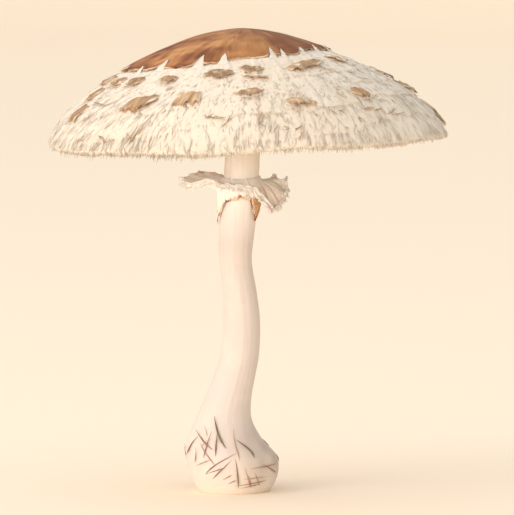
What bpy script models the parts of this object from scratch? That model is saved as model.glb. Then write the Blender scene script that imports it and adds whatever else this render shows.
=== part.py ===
"""Shaggy parasol mushroom, picked with its bulb and standing on the flat cut under it.

Sizes are in millimetres and angles in degrees, unless a name says otherwise. MM turns the sizes to metres.
The origin is the centre of the cut face. +Z is up the stem, and -Y is the side that faces the viewer.
Angles run round the stem from +X, so 180 is the viewer's left and 270 is the near side.
"""

import math
import random

import bmesh
import bpy
from mathutils import Euler, Matrix, Vector

MM = 0.001
FIT_GAP = 0.4  # air between two pieces that touch on the real mushroom

# The driving dimensions.
CAP_RADIUS = 70.7  # of the flesh, without its teeth
CAP_HEIGHT = 37.7  # of the flesh over the rim, without the skin
RIM_CENTRE = (5.0, 0.0, 128.2)
CAP_LEAN = -1.15  # the left side of the rim hangs lower than the right
CUT_RADIUS = 12.4
RING_HEIGHT = 111.6

# The height, the sideways and backward place of the axis, and the radius, from the cut to the stem's tip.
STEM_STATIONS = (
    (0.0, 0.0, 0.0, CUT_RADIUS),
    (2.2, 0.0, 0.1, 14.0),
    (7.6, -0.6, 0.3, 15.9),
    (13.0, -1.5, 0.5, 16.0),
    (18.7, -3.4, 0.8, 13.3),
    (25.9, -3.5, 1.1, 10.0),
    (33.1, -2.1, 1.3, 8.5),
    (40.3, 0.0, 1.3, 7.6),
    (50.0, 2.3, 1.1, 6.9),
    (61.9, 3.0, 0.6, 6.5),
    (72.0, 2.2, 0.1, 6.1),
    (83.5, 0.8, -0.3, 5.8),
    (93.0, 1.2, -0.4, 6.3),
    (105.0, 2.3, -0.3, 6.4),
    (116.0, 3.0, -0.1, 6.2),
    (130.0, 3.6, 0.0, 6.2),
    (145.0, 4.1, 0.0, 5.8),
)
STEM_TIP_RADIUS = 5.4


def smooth_at(table, height):
    """The other columns of a table at this height, on a Catmull-Rom curve through its rows."""
    last = len(table) - 1
    i = min(max(sum(row[0] <= height for row in table) - 1, 0), last - 1)
    before, low, high, after = (table[min(max(j, 0), last)] for j in range(i - 1, i + 3))
    span = high[0] - low[0]
    u = (height - low[0]) / span
    values = []
    for column in range(1, len(low)):
        enter = (high[column] - before[column]) / max(high[0] - before[0], 1e-6) * span
        leave = (after[column] - low[column]) / max(after[0] - low[0], 1e-6) * span
        values.append(
            (2 * u**3 - 3 * u**2 + 1) * low[column]
            + (u**3 - 2 * u**2 + u) * enter
            + (3 * u**2 - 2 * u**3) * high[column]
            + (u**3 - u**2) * leave
        )
    return values


def start_empty_scene():
    for old in list(bpy.data.objects):
        bpy.data.objects.remove(old)
    for old in list(bpy.data.meshes):
        bpy.data.meshes.remove(old)


def material(name, colour, roughness):
    made = bpy.data.materials.new(name)
    made.use_nodes = True
    shader = made.node_tree.nodes["Principled BSDF"]
    shader.inputs["Base Color"].default_value = (*colour, 1.0)
    shader.inputs["Roughness"].default_value = roughness
    shader.inputs["Metallic"].default_value = 0.0
    made.diffuse_color = (*colour, 1.0)
    return made


def add_object(name, bm, surface=None, parent=None):
    """The bmesh, drawn in millimetres, as an object with its faces pointing out."""
    bmesh.ops.recalc_face_normals(bm, faces=bm.faces)
    bmesh.ops.scale(bm, vec=(MM, MM, MM), verts=bm.verts)
    mesh = bpy.data.meshes.new(name)
    bm.to_mesh(mesh)
    bm.free()
    made = bpy.data.objects.new(name, mesh)
    bpy.context.scene.collection.objects.link(made)
    if surface:
        mesh.materials.append(surface)
    made.parent = parent
    return made


def add_loop(bm, points):
    return [bm.verts.new(point) for point in points]


def bridge(bm, low, high):
    """A band of faces between two closed loops of the same length."""
    for i in range(len(low)):
        j = (i + 1) % len(low)
        bm.faces.new((low[i], low[j], high[j], high[i]))


def close_with_fan(bm, loop, centre):
    hub = bm.verts.new(centre)
    for i in range(len(loop)):
        bm.faces.new((loop[i], loop[(i + 1) % len(loop)], hub))


def round_angles(count):
    return [math.tau * i / count for i in range(count)]


def circle(centre, radius, angles):
    """Points on a level circle."""
    return [centre + Vector((radius * math.cos(a), radius * math.sin(a), 0)) for a in angles]


def fuse(body, repeats):
    """Joins the repeats to the body in one closed solid, and removes them."""
    group = bpy.data.collections.new(body.name + "_repeats")
    bpy.context.scene.collection.children.link(group)
    for piece in repeats:
        bpy.context.scene.collection.objects.unlink(piece)
        group.objects.link(piece)
    union = body.modifiers.new("join_repeats", "BOOLEAN")
    union.operation = "UNION"
    union.operand_type = "COLLECTION"
    union.collection = group
    bpy.context.view_layer.update()
    graph = bpy.context.evaluated_depsgraph_get()
    joined = bpy.data.meshes.new_from_object(body.evaluated_get(graph))
    body.modifiers.clear()
    body.data = joined
    for piece in repeats:
        bpy.data.objects.remove(piece)
    bpy.data.collections.remove(group)
    joined.shade_smooth()
    joined.set_sharp_from_angle(angle=math.radians(35))


# The cap: its own frame has the origin at the middle of the rim, and sizes run out from the axis.
# A share is a share of the cap's radius.
FALL = ((1.17, 2), (-0.57, 4), (0.40, 8))  # how far the dome has fallen, as powers of the share
FLESH_AT_RIM = 2.5
FLESH_MORE_AT_AXIS = 10.5
CAP_SIDES = 44
CAP_TOP_SHARES = (0.18, 0.36, 0.52, 0.65, 0.76, 0.86, 0.94, 1.0)
UNDERSIDE_SHARES = (0.955, 0.83, 0.67, 0.50, 0.34, 0.20, 0.14)
LIP_SHARE = 0.982
LIP_DROP = 0.7
SOCKET_RADIUS = STEM_TIP_RADIUS + FIT_GAP + 0.5
SOCKET_DEPTH = 3.2
NEAR_LEFT = math.radians(238)  # where the rim hangs lowest
# The top is a little flatter on one side of its middle: where, how far round there, and by how much.
FLAT_PLACE = (20.0, 4.0)
FLAT_REACH = 18.0
FLAT_DEPTH = 1.1
# The whole brown skin of the crown is torn off at this radius: angle and radius.
CROWN_RADII = (
    (0, 29.0),
    (20, 30.0),
    (45, 32.2),
    (70, 35.0),
    (95, 38.0),
    (120, 41.0),
    (150, 43.0),
    (176, 43.4),
    (200, 42.0),
    (214, 40.6),
    (224, 38.7),
    (233, 38.2),
    (243, 37.1),
    (254, 35.2),
    (263, 33.1),
    (276, 32.0),
    (292, 31.0),
    (304, 30.6),
    (313, 29.0),
    (324, 27.7),
    (334, 27.8),
    (349, 28.6),
    (360, 29.0),
)


def rim_drop(angle):
    """How far the margin hangs below a flat circle, for it is a little wavy."""
    return 1.5 * math.cos(angle - NEAR_LEFT) + 0.6 * math.cos(3 * angle + 0.8) + 0.35 * math.cos(7 * angle)


def lobing(angle):
    """The share by which the margin is further out than a true circle."""
    return 0.006 * math.cos(2 * angle) + 0.006 * math.cos(5 * angle + 1.1)


def dome_height(share):
    return CAP_HEIGHT * (1 - sum(factor * share**power for factor, power in FALL))


def dome_slope(share):
    return -CAP_HEIGHT / CAP_RADIUS * sum(f * p * share ** (p - 1) for f, p in FALL)


def flattening(share, angle):
    """How much lower the top is than a round dome."""
    out = CAP_RADIUS * share
    off = math.dist((out * math.cos(angle), out * math.sin(angle)), FLAT_PLACE)
    return FLAT_DEPTH * math.exp(-((off / FLAT_REACH) ** 2))


def cap_point(share, angle, lift=0.0, sink=0.0):
    """A point on the dome. Lift is out along its normal, and sink is straight down into the flesh."""
    lean = 1 / math.hypot(1, dome_slope(share))
    out = CAP_RADIUS * share * (1 + lobing(angle) * share**2) - lift * dome_slope(share) * lean
    height = dome_height(share) - rim_drop(angle) * share**6 - flattening(share, angle) + lift * lean - sink
    return Vector((out * math.cos(angle), out * math.sin(angle), height))


def flesh_depth(share):
    return FLESH_AT_RIM + FLESH_MORE_AT_AXIS * max(1 - share, 0) ** 1.5


def under_point(share, angle, below=0.0):
    """A point on the underside of the flesh, which the flatter side of the top doesn't change."""
    return cap_point(share, angle, sink=flesh_depth(share) + below - flattening(share, angle))


def crown_edge(angle):
    """The radius at which the whole brown skin of the crown is torn off, before its notches."""
    return smooth_at(CROWN_RADII, math.degrees(angle) % 360)[0]


def cap_dome(surface, parent):
    """The white flesh: a dome above, a thinner rim, and a shallow socket for the stem below."""
    bm = bmesh.new()
    angles = round_angles(CAP_SIDES)
    loops = [add_loop(bm, [cap_point(share, a) for a in angles]) for share in CAP_TOP_SHARES]
    close_with_fan(bm, loops[0], cap_point(0.0, 0.0))
    lip_sink = dome_height(LIP_SHARE) + LIP_DROP
    loops.append(add_loop(bm, [cap_point(LIP_SHARE, a, sink=lip_sink) for a in angles]))
    loops += [add_loop(bm, [under_point(share, a) for a in angles]) for share in UNDERSIDE_SHARES]
    floor = under_point(UNDERSIDE_SHARES[-1], 0.0).z
    for height in (floor, floor + SOCKET_DEPTH):
        loops.append(add_loop(bm, circle(Vector((0, 0, height)), SOCKET_RADIUS, angles)))
    for low, high in zip(loops, loops[1:]):
        bridge(bm, low, high)
    close_with_fan(bm, loops[-1], (0, 0, floor + SOCKET_DEPTH))
    return add_object("cap", bm, surface, parent)


# The scales: torn flakes of the old brown skin and tufts of the flesh, each hinged on its upper end.
# Each outline runs round the flake: how far along it from root to tip, and how far across in half-widths.
TUFT = ((0.0, -0.7), (0.0, 0.7), (0.6, 1.0), (1.0, 0.1), (0.62, -1.0))
TORN_FLAKE = (
    (0.0, -0.7),
    (0.0, 0.7),
    (0.45, 1.0),
    (0.9, 0.75),
    (0.78, 0.3),
    (1.0, -0.15),
    (0.8, -0.9),
    (0.4, -1.0),
)
ROOT_DEPTH = 1.1
KEEL_DEPTH = 1.7
KEEL_PLACE = 0.55  # how far along the flake its lowest point is
CURL = 1.6  # the power by which a flake rises from its root to its tip
BURIED_LENGTH = 2.6
FLAKE_LIFT = (1.7, 2.4)
TUFT_LIFT = (1.2, 2.3)
FLAKE_FROM_CROWN = 1.2  # how far outside the crown's edge a flake's root is at least
TUFT_FROM_CROWN = 2.0
# The broad brown flakes of the side that the photograph shows: angle, radius of root and tip, and width.
SEEN_FLAKES = (
    (187, 46.2, 50.8, 7.0),
    (203, 46.7, 50.6, 6.8),
    (216, 45.4, 50.2, 7.4),
    (234, 44.3, 48.0, 8.4),
    (257.5, 40.2, 45.4, 11.0),
    (273, 38.6, 42.0, 8.6),
    (274, 43.3, 46.4, 9.0),
    (302.5, 36.6, 42.8, 16.5),
    (332, 34.2, 39.0, 9.5),
    (196, 52.3, 58.8, 6.2),
    (229.5, 54.6, 60.8, 14.2),
    (248.3, 52.7, 58.8, 10.0),
    (271, 51.6, 55.0, 10.6),
    (289, 56.6, 60.4, 11.0),
    (316, 53.4, 58.4, 7.2),
    (199, 59.4, 65.4, 7.4),
)
HIDDEN_FLAKE_RINGS = ((47.5, 8), (56.5, 9), (65.0, 10))  # middle radius, and how many go round the far half
TUFT_ROWS = 5
TUFT_SPACING = 14.0
TUFT_LENGTH = 9.0
# A tuft is left out where its middle is this near to a broad flake's, along it and in their half-widths.
CROWDED_LENGTH = 5.2
CROWDED_SHARE = 0.8
FRINGE_TEETH = 44
TOOTH_HALF_WIDTH = (2.4, 3.6)
TOOTH_DROP = (1.6, 3.2)


def broad_flakes():
    """The flakes that can be seen in the photograph, and others like them round the far half of the cap."""
    draw = random.Random(10)
    flakes = list(SEEN_FLAKES)
    for middle, count in HIDDEN_FLAKE_RINGS:
        for i in range(count):
            angle = -5 + 180 * (i + 0.5 + draw.uniform(-0.25, 0.25)) / count
            length = draw.uniform(5.5, 7.5)
            root = middle - length / 2 + draw.uniform(-2.0, 2.0)
            flakes.append((angle, root, root + length, draw.uniform(7.0, 12.5)))
    return flakes


def scale(root, tip, angle, half_width, lift, outline, name):
    """A flake with its root in the flesh and its torn end raised. Its sides run in to one point below it."""
    bm = bmesh.new()
    rim = []
    for along, across in outline:
        radius = root + along * (tip - root)
        height = -ROOT_DEPTH + (ROOT_DEPTH + lift) * (1 - (1 - along) ** CURL)
        turned = angle + across * half_width / radius
        rim.append(bm.verts.new(cap_point(radius / CAP_RADIUS, turned, lift=height)))
    keel = bm.verts.new(cap_point((root + KEEL_PLACE * (tip - root)) / CAP_RADIUS, angle, lift=-KEEL_DEPTH))
    bm.faces.new(rim)
    for i in range(len(rim)):
        bm.faces.new((rim[i], rim[(i + 1) % len(rim)], keel))
    return add_object(name, bm)


def scales(parent):
    """The broad flakes, and tufts in rings between them, from the torn crown out to the rim."""
    draw = random.Random(11)
    made = []
    broad = broad_flakes()
    for i, (degrees, root, tip, width) in enumerate(broad):
        angle = math.radians(degrees)
        root = max(root - BURIED_LENGTH, crown_edge(angle) + FLAKE_FROM_CROWN)
        made.append(scale(root, tip, angle, width / 2, draw.uniform(*FLAKE_LIFT), TORN_FLAKE, f"broad_{i}"))
    for row in range(TUFT_ROWS):
        way_out = row / TUFT_ROWS
        count = round(math.tau * (37 + way_out * (CAP_RADIUS - 37)) / TUFT_SPACING)
        for i in range(count):
            angle = math.tau * (i + 0.5 * (row % 2) + draw.uniform(-0.2, 0.2)) / count
            start = crown_edge(angle) + TUFT_FROM_CROWN
            root = start + (way_out + 0.04) * (CAP_RADIUS - start) + draw.uniform(-1.1, 1.1)
            tip = min(root + TUFT_LENGTH * draw.uniform(0.8, 1.15), CAP_RADIUS + 0.4)
            half_width = TUFT_SPACING * draw.uniform(0.38, 0.50)
            lift = draw.uniform(*TUFT_LIFT)
            middle = (root + tip) / 2
            crowded = any(
                abs(math.remainder(angle - math.radians(degrees), math.tau)) * middle
                < (half_width + width / 2) * CROWDED_SHARE
                and abs(middle - (upper + lower) / 2) < CROWDED_LENGTH
                for degrees, upper, lower, width in broad
            )
            if not crowded:
                made.append(scale(root, tip, angle, half_width, lift, TUFT, f"tuft_{row}_{i}"))
    for piece in made:
        piece.parent = parent
    return made


def fringe(parent):
    """The shaggy margin: narrow teeth that hang out and down from the rim."""
    draw = random.Random(12)
    made = []
    for i in range(FRINGE_TEETH):
        angle = math.tau * (i + draw.uniform(-0.2, 0.2)) / FRINGE_TEETH
        turn = draw.uniform(*TOOTH_HALF_WIDTH) / CAP_RADIUS
        root = cap_point(0.955, angle, lift=-0.8)
        low = cap_point(0.975, angle, lift=-2.2)
        left, right = cap_point(0.985, angle - turn, lift=0.5), cap_point(0.985, angle + turn, lift=0.5)
        tip = cap_point(1.0, angle + draw.uniform(-0.3, 0.3) * turn, lift=0.6, sink=draw.uniform(*TOOTH_DROP))
        bm = bmesh.new()
        ends = [bm.verts.new(point) for point in (root, left, right, low, tip)]
        for face in ((0, 1, 2), (1, 4, 2), (0, 3, 1), (0, 2, 3), (1, 3, 4), (2, 4, 3)):
            bm.faces.new([ends[k] for k in face])
        piece = add_object(f"tooth_{i}", bm)
        piece.parent = parent
        made.append(piece)
    return made


# The crown skin: the one brown patch of the old skin that stays whole, with a torn, notched edge.
CROWN_THICKNESS = 0.9
CROWN_EDGE_THICKNESS = 0.7
EDGE_BAND = 0.05  # the share of the cap's radius from the torn edge in to the next ring of points
# Angle, depth and half-width in degrees of each notch. Those from 190 to 343 are in the photograph.
CROWN_NOTCHES = (
    (10, 2.0, 2.2),
    (30, 3.8, 2.8),
    (48, 2.2, 2.0),
    (66, 4.4, 3.2),
    (85, 2.4, 2.0),
    (103, 4.0, 2.8),
    (124, 2.6, 2.4),
    (142, 4.2, 3.0),
    (162, 2.6, 2.2),
    (192, 2.2, 2.4),
    (208, 1.8, 1.8),
    (221, 4.2, 2.8),
    (243.5, 5.2, 3.0),
    (257, 4.2, 2.6),
    (287.5, 4.4, 2.4),
    (295, 2.8, 1.8),
    (312, 1.8, 2.4),
    (331, 1.8, 2.2),
    (351, 2.6, 2.4),
)


def crown_outline():
    """The torn edge, as angles and radii: across each notch, and one or two points along each tab."""
    draw = random.Random(13)
    outline = []
    following = CROWN_NOTCHES[1:] + ((CROWN_NOTCHES[0][0] + 360, *CROWN_NOTCHES[0][1:]),)
    for (at, depth, half), (next_at, _, next_half) in zip(CROWN_NOTCHES, following):
        outline += [(at, -depth), (at + half, draw.uniform(-0.2, 0.7))]
        tab = next_at - next_half - (at + half)
        points = 2 if tab > 17 else 1
        for k in range(1, points + 1):
            outline.append((at + half + tab * k / (points + 1), draw.uniform(0.5, 1.5)))
        outline.append((next_at - next_half, draw.uniform(-0.2, 0.7)))
    return [(math.radians(degrees), crown_edge(math.radians(degrees)) + torn) for degrees, torn in outline]


def crown_skin(surface, parent):
    bm = bmesh.new()
    outline = crown_outline()
    edge = [(radius / CAP_RADIUS, angle) for angle, radius in outline]
    inside = [(share - EDGE_BAND, angle) for share, angle in edge]
    spread = [[(min(share, 0.88 * ins), angle) for ins, angle in inside] for share in CAP_TOP_SHARES[:2]]
    spread.append(inside)
    top = FIT_GAP + CROWN_THICKNESS
    loops = [add_loop(bm, [cap_point(*at, lift=top) for at in ring_of]) for ring_of in (*spread, edge)]
    loops.append(add_loop(bm, [cap_point(*at, lift=top - CROWN_EDGE_THICKNESS) for at in edge]))
    loops += [add_loop(bm, [cap_point(*at, lift=FIT_GAP) for at in ring_of]) for ring_of in reversed(spread)]
    for low, high in zip(loops, loops[1:]):
        bridge(bm, low, high)
    close_with_fan(bm, loops[0], cap_point(0.0, 0.0, lift=top))
    close_with_fan(bm, loops[-1], cap_point(0.0, 0.0, lift=FIT_GAP))
    made = add_object("crown_skin", bm, surface, parent)
    made.data.shade_smooth()
    made.data.set_sharp_from_angle(angle=math.radians(35))
    return made


# The gills: free blades that hang from a thin layer of flesh and stop short of the stem.
# They are drawn as one folded sheet. Long blades start at the collar, and shorter ones between them start
# further out.
GILL_LAYER = 1.0
GILL_SHARES = (0.145, *reversed(UNDERSIDE_SHARES[1:-1]), 0.945)
GILL_DEPTHS = (2.4, 6.2, 8.2, 8.2, 6.8, 4.4, 0.0)  # of a long blade at each share
GILL_THICKNESS = (0.62, 0.62, 0.65, 0.7, 0.75, 0.8, 0.8)
# Each kind of blade in one step round the cap: its place in the step, where it starts, and its depth share.
GILL_KINDS = ((0.0, 0, 1.0), (0.25, 4, 0.62), (0.5, 2, 0.85), (0.75, 4, 0.62))


def gill_section(bm, station, angle, start, depth_share):
    """One blade's points at a station: left foot, left edge, right edge, right foot, or one at its end."""
    share = GILL_SHARES[station]
    last = len(GILL_SHARES) - 1
    below = FIT_GAP + GILL_LAYER
    if station == last or station == start > 0:
        return [bm.verts.new(under_point(share, angle, below=below))]
    turn = GILL_THICKNESS[station] / 2 / (CAP_RADIUS * share)
    deep = below + GILL_DEPTHS[station] * depth_share
    places = ((-turn, below), (-turn, deep), (turn, deep), (turn, below))
    return [bm.verts.new(under_point(share, angle + side, below=depth)) for side, depth in places]


def gills(surface, parent):
    bm = bmesh.new()
    stations = []  # for each station, the sections of the blades that reach it, in order round the cap
    for station in range(len(GILL_SHARES)):
        row = []
        for step in range(CAP_SIDES):
            for k, (place, start, depth_share) in enumerate(GILL_KINDS):
                if start <= station:
                    angle = math.tau * (step + place) / CAP_SIDES
                    row.append(((step, k), gill_section(bm, station, angle, start, depth_share)))
        stations.append(row)
    for here, there in zip(stations, stations[1:]):
        reached = dict(there)
        order = [key for key, _ in there]
        for i, (key, section) in enumerate(here):
            ahead = reached[key]
            # The sides and the edge of the blade, which may shrink to one point at either end.
            for j in range(3):
                near = section[j : j + 2] if len(section) > 1 else section
                far = ahead[j : j + 2] if len(ahead) > 1 else ahead
                bm.faces.new([*near, *reversed(far)])
            # The floor up to the next blade, with the points of blades that start along it.
            next_key, next_section = here[(i + 1) % len(here)]
            first, stop = order.index(key), order.index(next_key)
            between = order[first + 1 : stop if stop > first else None]
            floor = [section[-1], next_section[0], reached[next_key][0]]
            floor += [reached[new][0] for new in reversed(between)]
            bm.faces.new([*floor, ahead[-1]])
    angles = round_angles(CAP_SIDES)
    upper = [add_loop(bm, [under_point(share, a, below=FIT_GAP) for a in angles]) for share in GILL_SHARES]
    for low, high in zip(upper, upper[1:]):
        bridge(bm, low, high)
    # The inner and outer walls, and the upright end of each long blade.
    for row, loop in ((stations[0], upper[0]), (stations[-1], upper[-1])):
        per_step = len(row) // CAP_SIDES
        for i in range(CAP_SIDES):
            parts = [section for _, section in row[i * per_step : (i + 1) * per_step]]
            after = row[(i + 1) * per_step % len(row)][1][0]
            feet = []
            for section in parts:
                feet += (section[0], section[-1]) if len(section) > 1 else section
            bm.faces.new([loop[i], *feet, after, loop[(i + 1) % CAP_SIDES]])
            if len(parts[0]) > 1:
                bm.faces.new(parts[0])
    return add_object("gills", bm, surface, parent)


# The stem: a silky stalk that bends a little and swells to a bulb, cut flat below.
STEM_SIDES = 24
STEM_RINGS = 24


def stem_radius_share(height, angle):
    """The stem isn't quite round, and the bulb has low lobes."""
    bulb = math.exp(-(((height - 11) / 12) ** 2))
    lobes = 0.030 * math.cos(3 * angle + 0.4) + 0.018 * math.cos(5 * angle)
    return 1 + 0.012 * math.cos(2 * angle + 0.7) + bulb * lobes


def stem_point(height, angle, lift=0.0):
    x, y, radius = smooth_at(STEM_STATIONS, height)
    out = radius * stem_radius_share(height, angle) + lift
    return Vector((x + out * math.cos(angle), y + out * math.sin(angle), height))


def stalk(surface, tip_centre):
    """The stalk up to the socket in the cap. Its rings are closer together over the bulb."""
    bm = bmesh.new()
    angles = round_angles(STEM_SIDES)
    top = STEM_STATIONS[-1][0]
    heights = [top * (i / (STEM_RINGS - 1)) ** 1.35 for i in range(STEM_RINGS)]
    loops = [add_loop(bm, [stem_point(h, a) for a in angles]) for h in heights]
    for below_tip, wider in ((3.4, 0.1), (0.7, 0.0), (0.0, -0.9)):
        centre = tip_centre - Vector((0, 0, below_tip))
        loops.append(add_loop(bm, circle(centre, STEM_TIP_RADIUS + wider, angles)))
    for low, high in zip(loops, loops[1:]):
        bridge(bm, low, high)
    bm.faces.new(loops[0])
    close_with_fan(bm, loops[-1], tip_centre)
    return add_object("stem", bm, surface)


# Dead needles and bits of straw that cling to the bulb where it stood in the litter.
NEEDLE_COUNT = 25
NEEDLE_HALF_WIDTH = 0.6
NEEDLE_RIDGE = (0.55, 0.9)  # how far it stands out
NEEDLE_ROOT = 0.8  # how far its base is inside the bulb


def litter_needles():
    """Short three-sided needles pressed into the skin of the bulb, leaning all ways but mostly steeply."""
    draw = random.Random(14)
    made = []
    for i in range(NEEDLE_COUNT):
        angle = math.tau * (i + draw.uniform(-0.35, 0.35)) / NEEDLE_COUNT
        low = draw.uniform(2.4, 9.0)
        length = draw.uniform(8.0, 12.5)
        lean = math.radians(draw.choice((-1, 1)) * draw.uniform(5, 62))
        ridge = draw.uniform(*NEEDLE_RIDGE)
        bm = bmesh.new()
        loops = []
        for step, thick in ((0.0, 1.0), (0.5, 1.0), (1.0, 0.5)):
            height = low + step * length * math.cos(lean)
            turned = angle + step * length * math.sin(lean) / 15
            across = Vector((-math.sin(turned), math.cos(turned), 0)) * NEEDLE_HALF_WIDTH * thick
            base = stem_point(height, turned, lift=-NEEDLE_ROOT)
            crest = stem_point(height, turned, lift=ridge * thick)
            loops.append(add_loop(bm, [crest, base + across, base - across]))
        bridge(bm, loops[0], loops[1])
        bridge(bm, loops[1], loops[2])
        bm.faces.new(loops[0])
        bm.faces.new(loops[2])
        made.append(add_object(f"needle_{i}", bm))
    return made


# The ring: a thick torn collar, loose round the stem, with a wide limp flange and a torn cuff below it.
RING_SIDES = 72
RING_BORE_GAP = FIT_GAP
# Angle, reach from the axis, height of the flange's edge over the ring's middle, and depth of the cuff.
RING_LOBES = (
    (0, 17.2, -3.6, 6.0),
    (10, 17.0, -2.8, 5.6),
    (20, 17.6, -0.1, 5.4),
    (31, 16.6, -2.6, 5.2),
    (43, 16.8, 0.6, 5.0),
    (53, 15.2, -2.0, 5.0),
    (64, 14.2, -1.4, 5.0),
    (95, 16.0, -0.8, 5.6),
    (130, 17.8, 1.8, 5.2),
    (155, 20.3, 0.8, 6.6),
    (180, 22.4, 0.1, 9.0),
    (200, 19.6, -0.9, 7.6),
    (218, 14.8, 1.0, 6.2),
    (236, 12.6, -0.6, 5.4),
    (270, 11.6, -1.2, 5.2),
    (296, 12.6, -2.8, 5.4),
    (308, 14.2, -5.4, 6.6),
    (321, 16.0, -9.2, 8.0),
    (333, 16.4, -8.2, 8.0),
    (346, 17.4, -4.6, 7.0),
    (360, 17.2, -3.6, 6.0),
)
STRAP_ANGLES = (188, 327)  # the two long torn straps of the cuff
STRAP_LENGTH = 5.6


def ring_loop(angle, draw):
    """The section of the ring at this angle: over the flange, round its edge, and down and up the cuff."""
    reach, edge_height, cuff = smooth_at(RING_LOBES, math.degrees(angle) % 360)
    reach += draw.uniform(-0.7, 0.9)
    edge_height += draw.uniform(-0.5, 0.5)
    cuff += draw.uniform(-0.7, 0.7)
    for strap in STRAP_ANGLES:
        cuff += STRAP_LENGTH * math.exp(-(((math.degrees(angle) - strap) / 9) ** 2))

    def at(out, height):
        x, y, radius = smooth_at(STEM_STATIONS, height)
        if out is None:
            out = radius * stem_radius_share(height, angle) + RING_BORE_GAP
        return Vector((x + out * math.cos(angle), y + out * math.sin(angle), height))

    collar = 6.3 + RING_BORE_GAP
    half_way = collar + 0.5 * (reach - collar)
    middle = RING_HEIGHT + 0.35 * edge_height
    return [
        at(None, RING_HEIGHT + 2.0),
        at(collar + 1.6, RING_HEIGHT + 1.5),
        at(half_way, middle + 1.1),
        at(reach, RING_HEIGHT + edge_height + 0.5),
        at(reach, RING_HEIGHT + edge_height - 0.6),
        at(half_way, middle - 1.3),
        at(collar + 2.0, RING_HEIGHT - 2.8),
        at(collar + 0.9, RING_HEIGHT - cuff),
        at(None, RING_HEIGHT - cuff),
        at(None, RING_HEIGHT - 2.0),
    ]


def ring(surface):
    draw = random.Random(15)
    bm = bmesh.new()
    sections = [add_loop(bm, ring_loop(angle, draw)) for angle in round_angles(RING_SIDES)]
    for here, there in zip(sections, sections[1:] + sections[:1]):
        bridge(bm, here, there)
    made = add_object("ring", bm, surface)
    made.data.shade_smooth()
    made.data.set_sharp_from_angle(angle=math.radians(50))
    return made


def main():
    start_empty_scene()
    cream = material("shaggy_white_flesh", (0.86, 0.76, 0.62), 0.9)
    brown = material("brown_crown_skin", (0.38, 0.20, 0.10), 0.7)
    white = material("white_gills", (0.90, 0.84, 0.74), 0.85)
    torn = material("torn_ring_tissue", (0.84, 0.73, 0.58), 0.9)
    silky = material("silky_stem", (0.90, 0.80, 0.68), 0.6)

    cap_axis = bpy.data.objects.new("cap_axis", None)
    bpy.context.scene.collection.objects.link(cap_axis)
    cap_axis.location = Vector(RIM_CENTRE) * MM
    cap_axis.rotation_euler = (0, math.radians(CAP_LEAN), 0)

    cap = cap_dome(cream, cap_axis)
    fuse(cap, scales(cap_axis) + fringe(cap_axis))
    crown_skin(brown, cap_axis)
    gills(white, cap_axis)

    tip_height = under_point(UNDERSIDE_SHARES[-1], 0.0).z + SOCKET_DEPTH - FIT_GAP
    placed = Matrix.Translation(RIM_CENTRE) @ Euler((0, math.radians(CAP_LEAN), 0)).to_matrix().to_4x4()
    stem = stalk(silky, placed @ Vector((0, 0, tip_height)))
    fuse(stem, litter_needles())
    ring(torn)


main()
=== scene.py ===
"""The looks of the shaggy parasol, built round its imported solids.

Sizes are in millimetres and angles round the stem in degrees from +X, unless a name says otherwise.
-Y is the side that faces the viewer, so 270 degrees is the near side and 180 the viewer's left.
"""

import math
import random

import bmesh
import bpy
import numpy as np
from mathutils import Matrix, Vector


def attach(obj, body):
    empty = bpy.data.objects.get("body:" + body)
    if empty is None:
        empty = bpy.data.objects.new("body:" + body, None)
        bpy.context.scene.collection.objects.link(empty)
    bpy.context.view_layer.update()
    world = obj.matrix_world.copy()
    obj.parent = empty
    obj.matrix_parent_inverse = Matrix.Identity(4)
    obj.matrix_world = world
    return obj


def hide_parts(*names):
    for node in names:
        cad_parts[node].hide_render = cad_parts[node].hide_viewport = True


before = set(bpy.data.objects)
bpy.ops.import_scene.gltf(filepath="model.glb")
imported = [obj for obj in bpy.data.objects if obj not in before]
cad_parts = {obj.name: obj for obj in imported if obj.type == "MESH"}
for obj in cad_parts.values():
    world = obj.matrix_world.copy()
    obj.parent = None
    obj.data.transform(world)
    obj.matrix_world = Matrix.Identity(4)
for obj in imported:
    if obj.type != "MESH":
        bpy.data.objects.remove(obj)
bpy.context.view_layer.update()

# The stem: a silky stalk of long fibres, bent a little and swollen to a bulb, as it grew.
# The skin is thin, smooth and dry, cream with faint grey lines, and warmer over the bulb.
# The knife cut it flat under the bulb, so that it stands, and left a paler face with a ring of pith.
MM = 0.001
STEM_SIDES = 220
STEM_RINGS = 290
STEM_TOP = 145.0
STEM_TIP = 157.0
STEM_TIP_RADIUS = 5.4
CUT_RADIUS = 12.4
CUT_RINGS = 14
# Height, the sideways and backward place of the axis, and the radius.
STEM_STATIONS = (
    (0.0, 0.0, 0.0, CUT_RADIUS),
    (2.2, 0.0, 0.1, 14.0),
    (7.6, -0.6, 0.3, 15.9),
    (13.0, -1.5, 0.5, 16.0),
    (18.7, -3.4, 0.8, 13.3),
    (25.9, -3.5, 1.1, 10.0),
    (33.1, -2.1, 1.3, 8.5),
    (40.3, 0.0, 1.3, 7.6),
    (50.0, 2.3, 1.1, 6.9),
    (61.9, 3.0, 0.6, 6.5),
    (72.0, 2.2, 0.1, 6.1),
    (83.5, 0.8, -0.3, 5.8),
    (93.0, 1.2, -0.4, 6.3),
    (105.0, 2.3, -0.3, 6.4),
    (116.0, 3.0, -0.1, 6.2),
    (130.0, 3.6, 0.0, 6.2),
    (145.0, 4.1, 0.0, 5.8),
)


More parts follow.
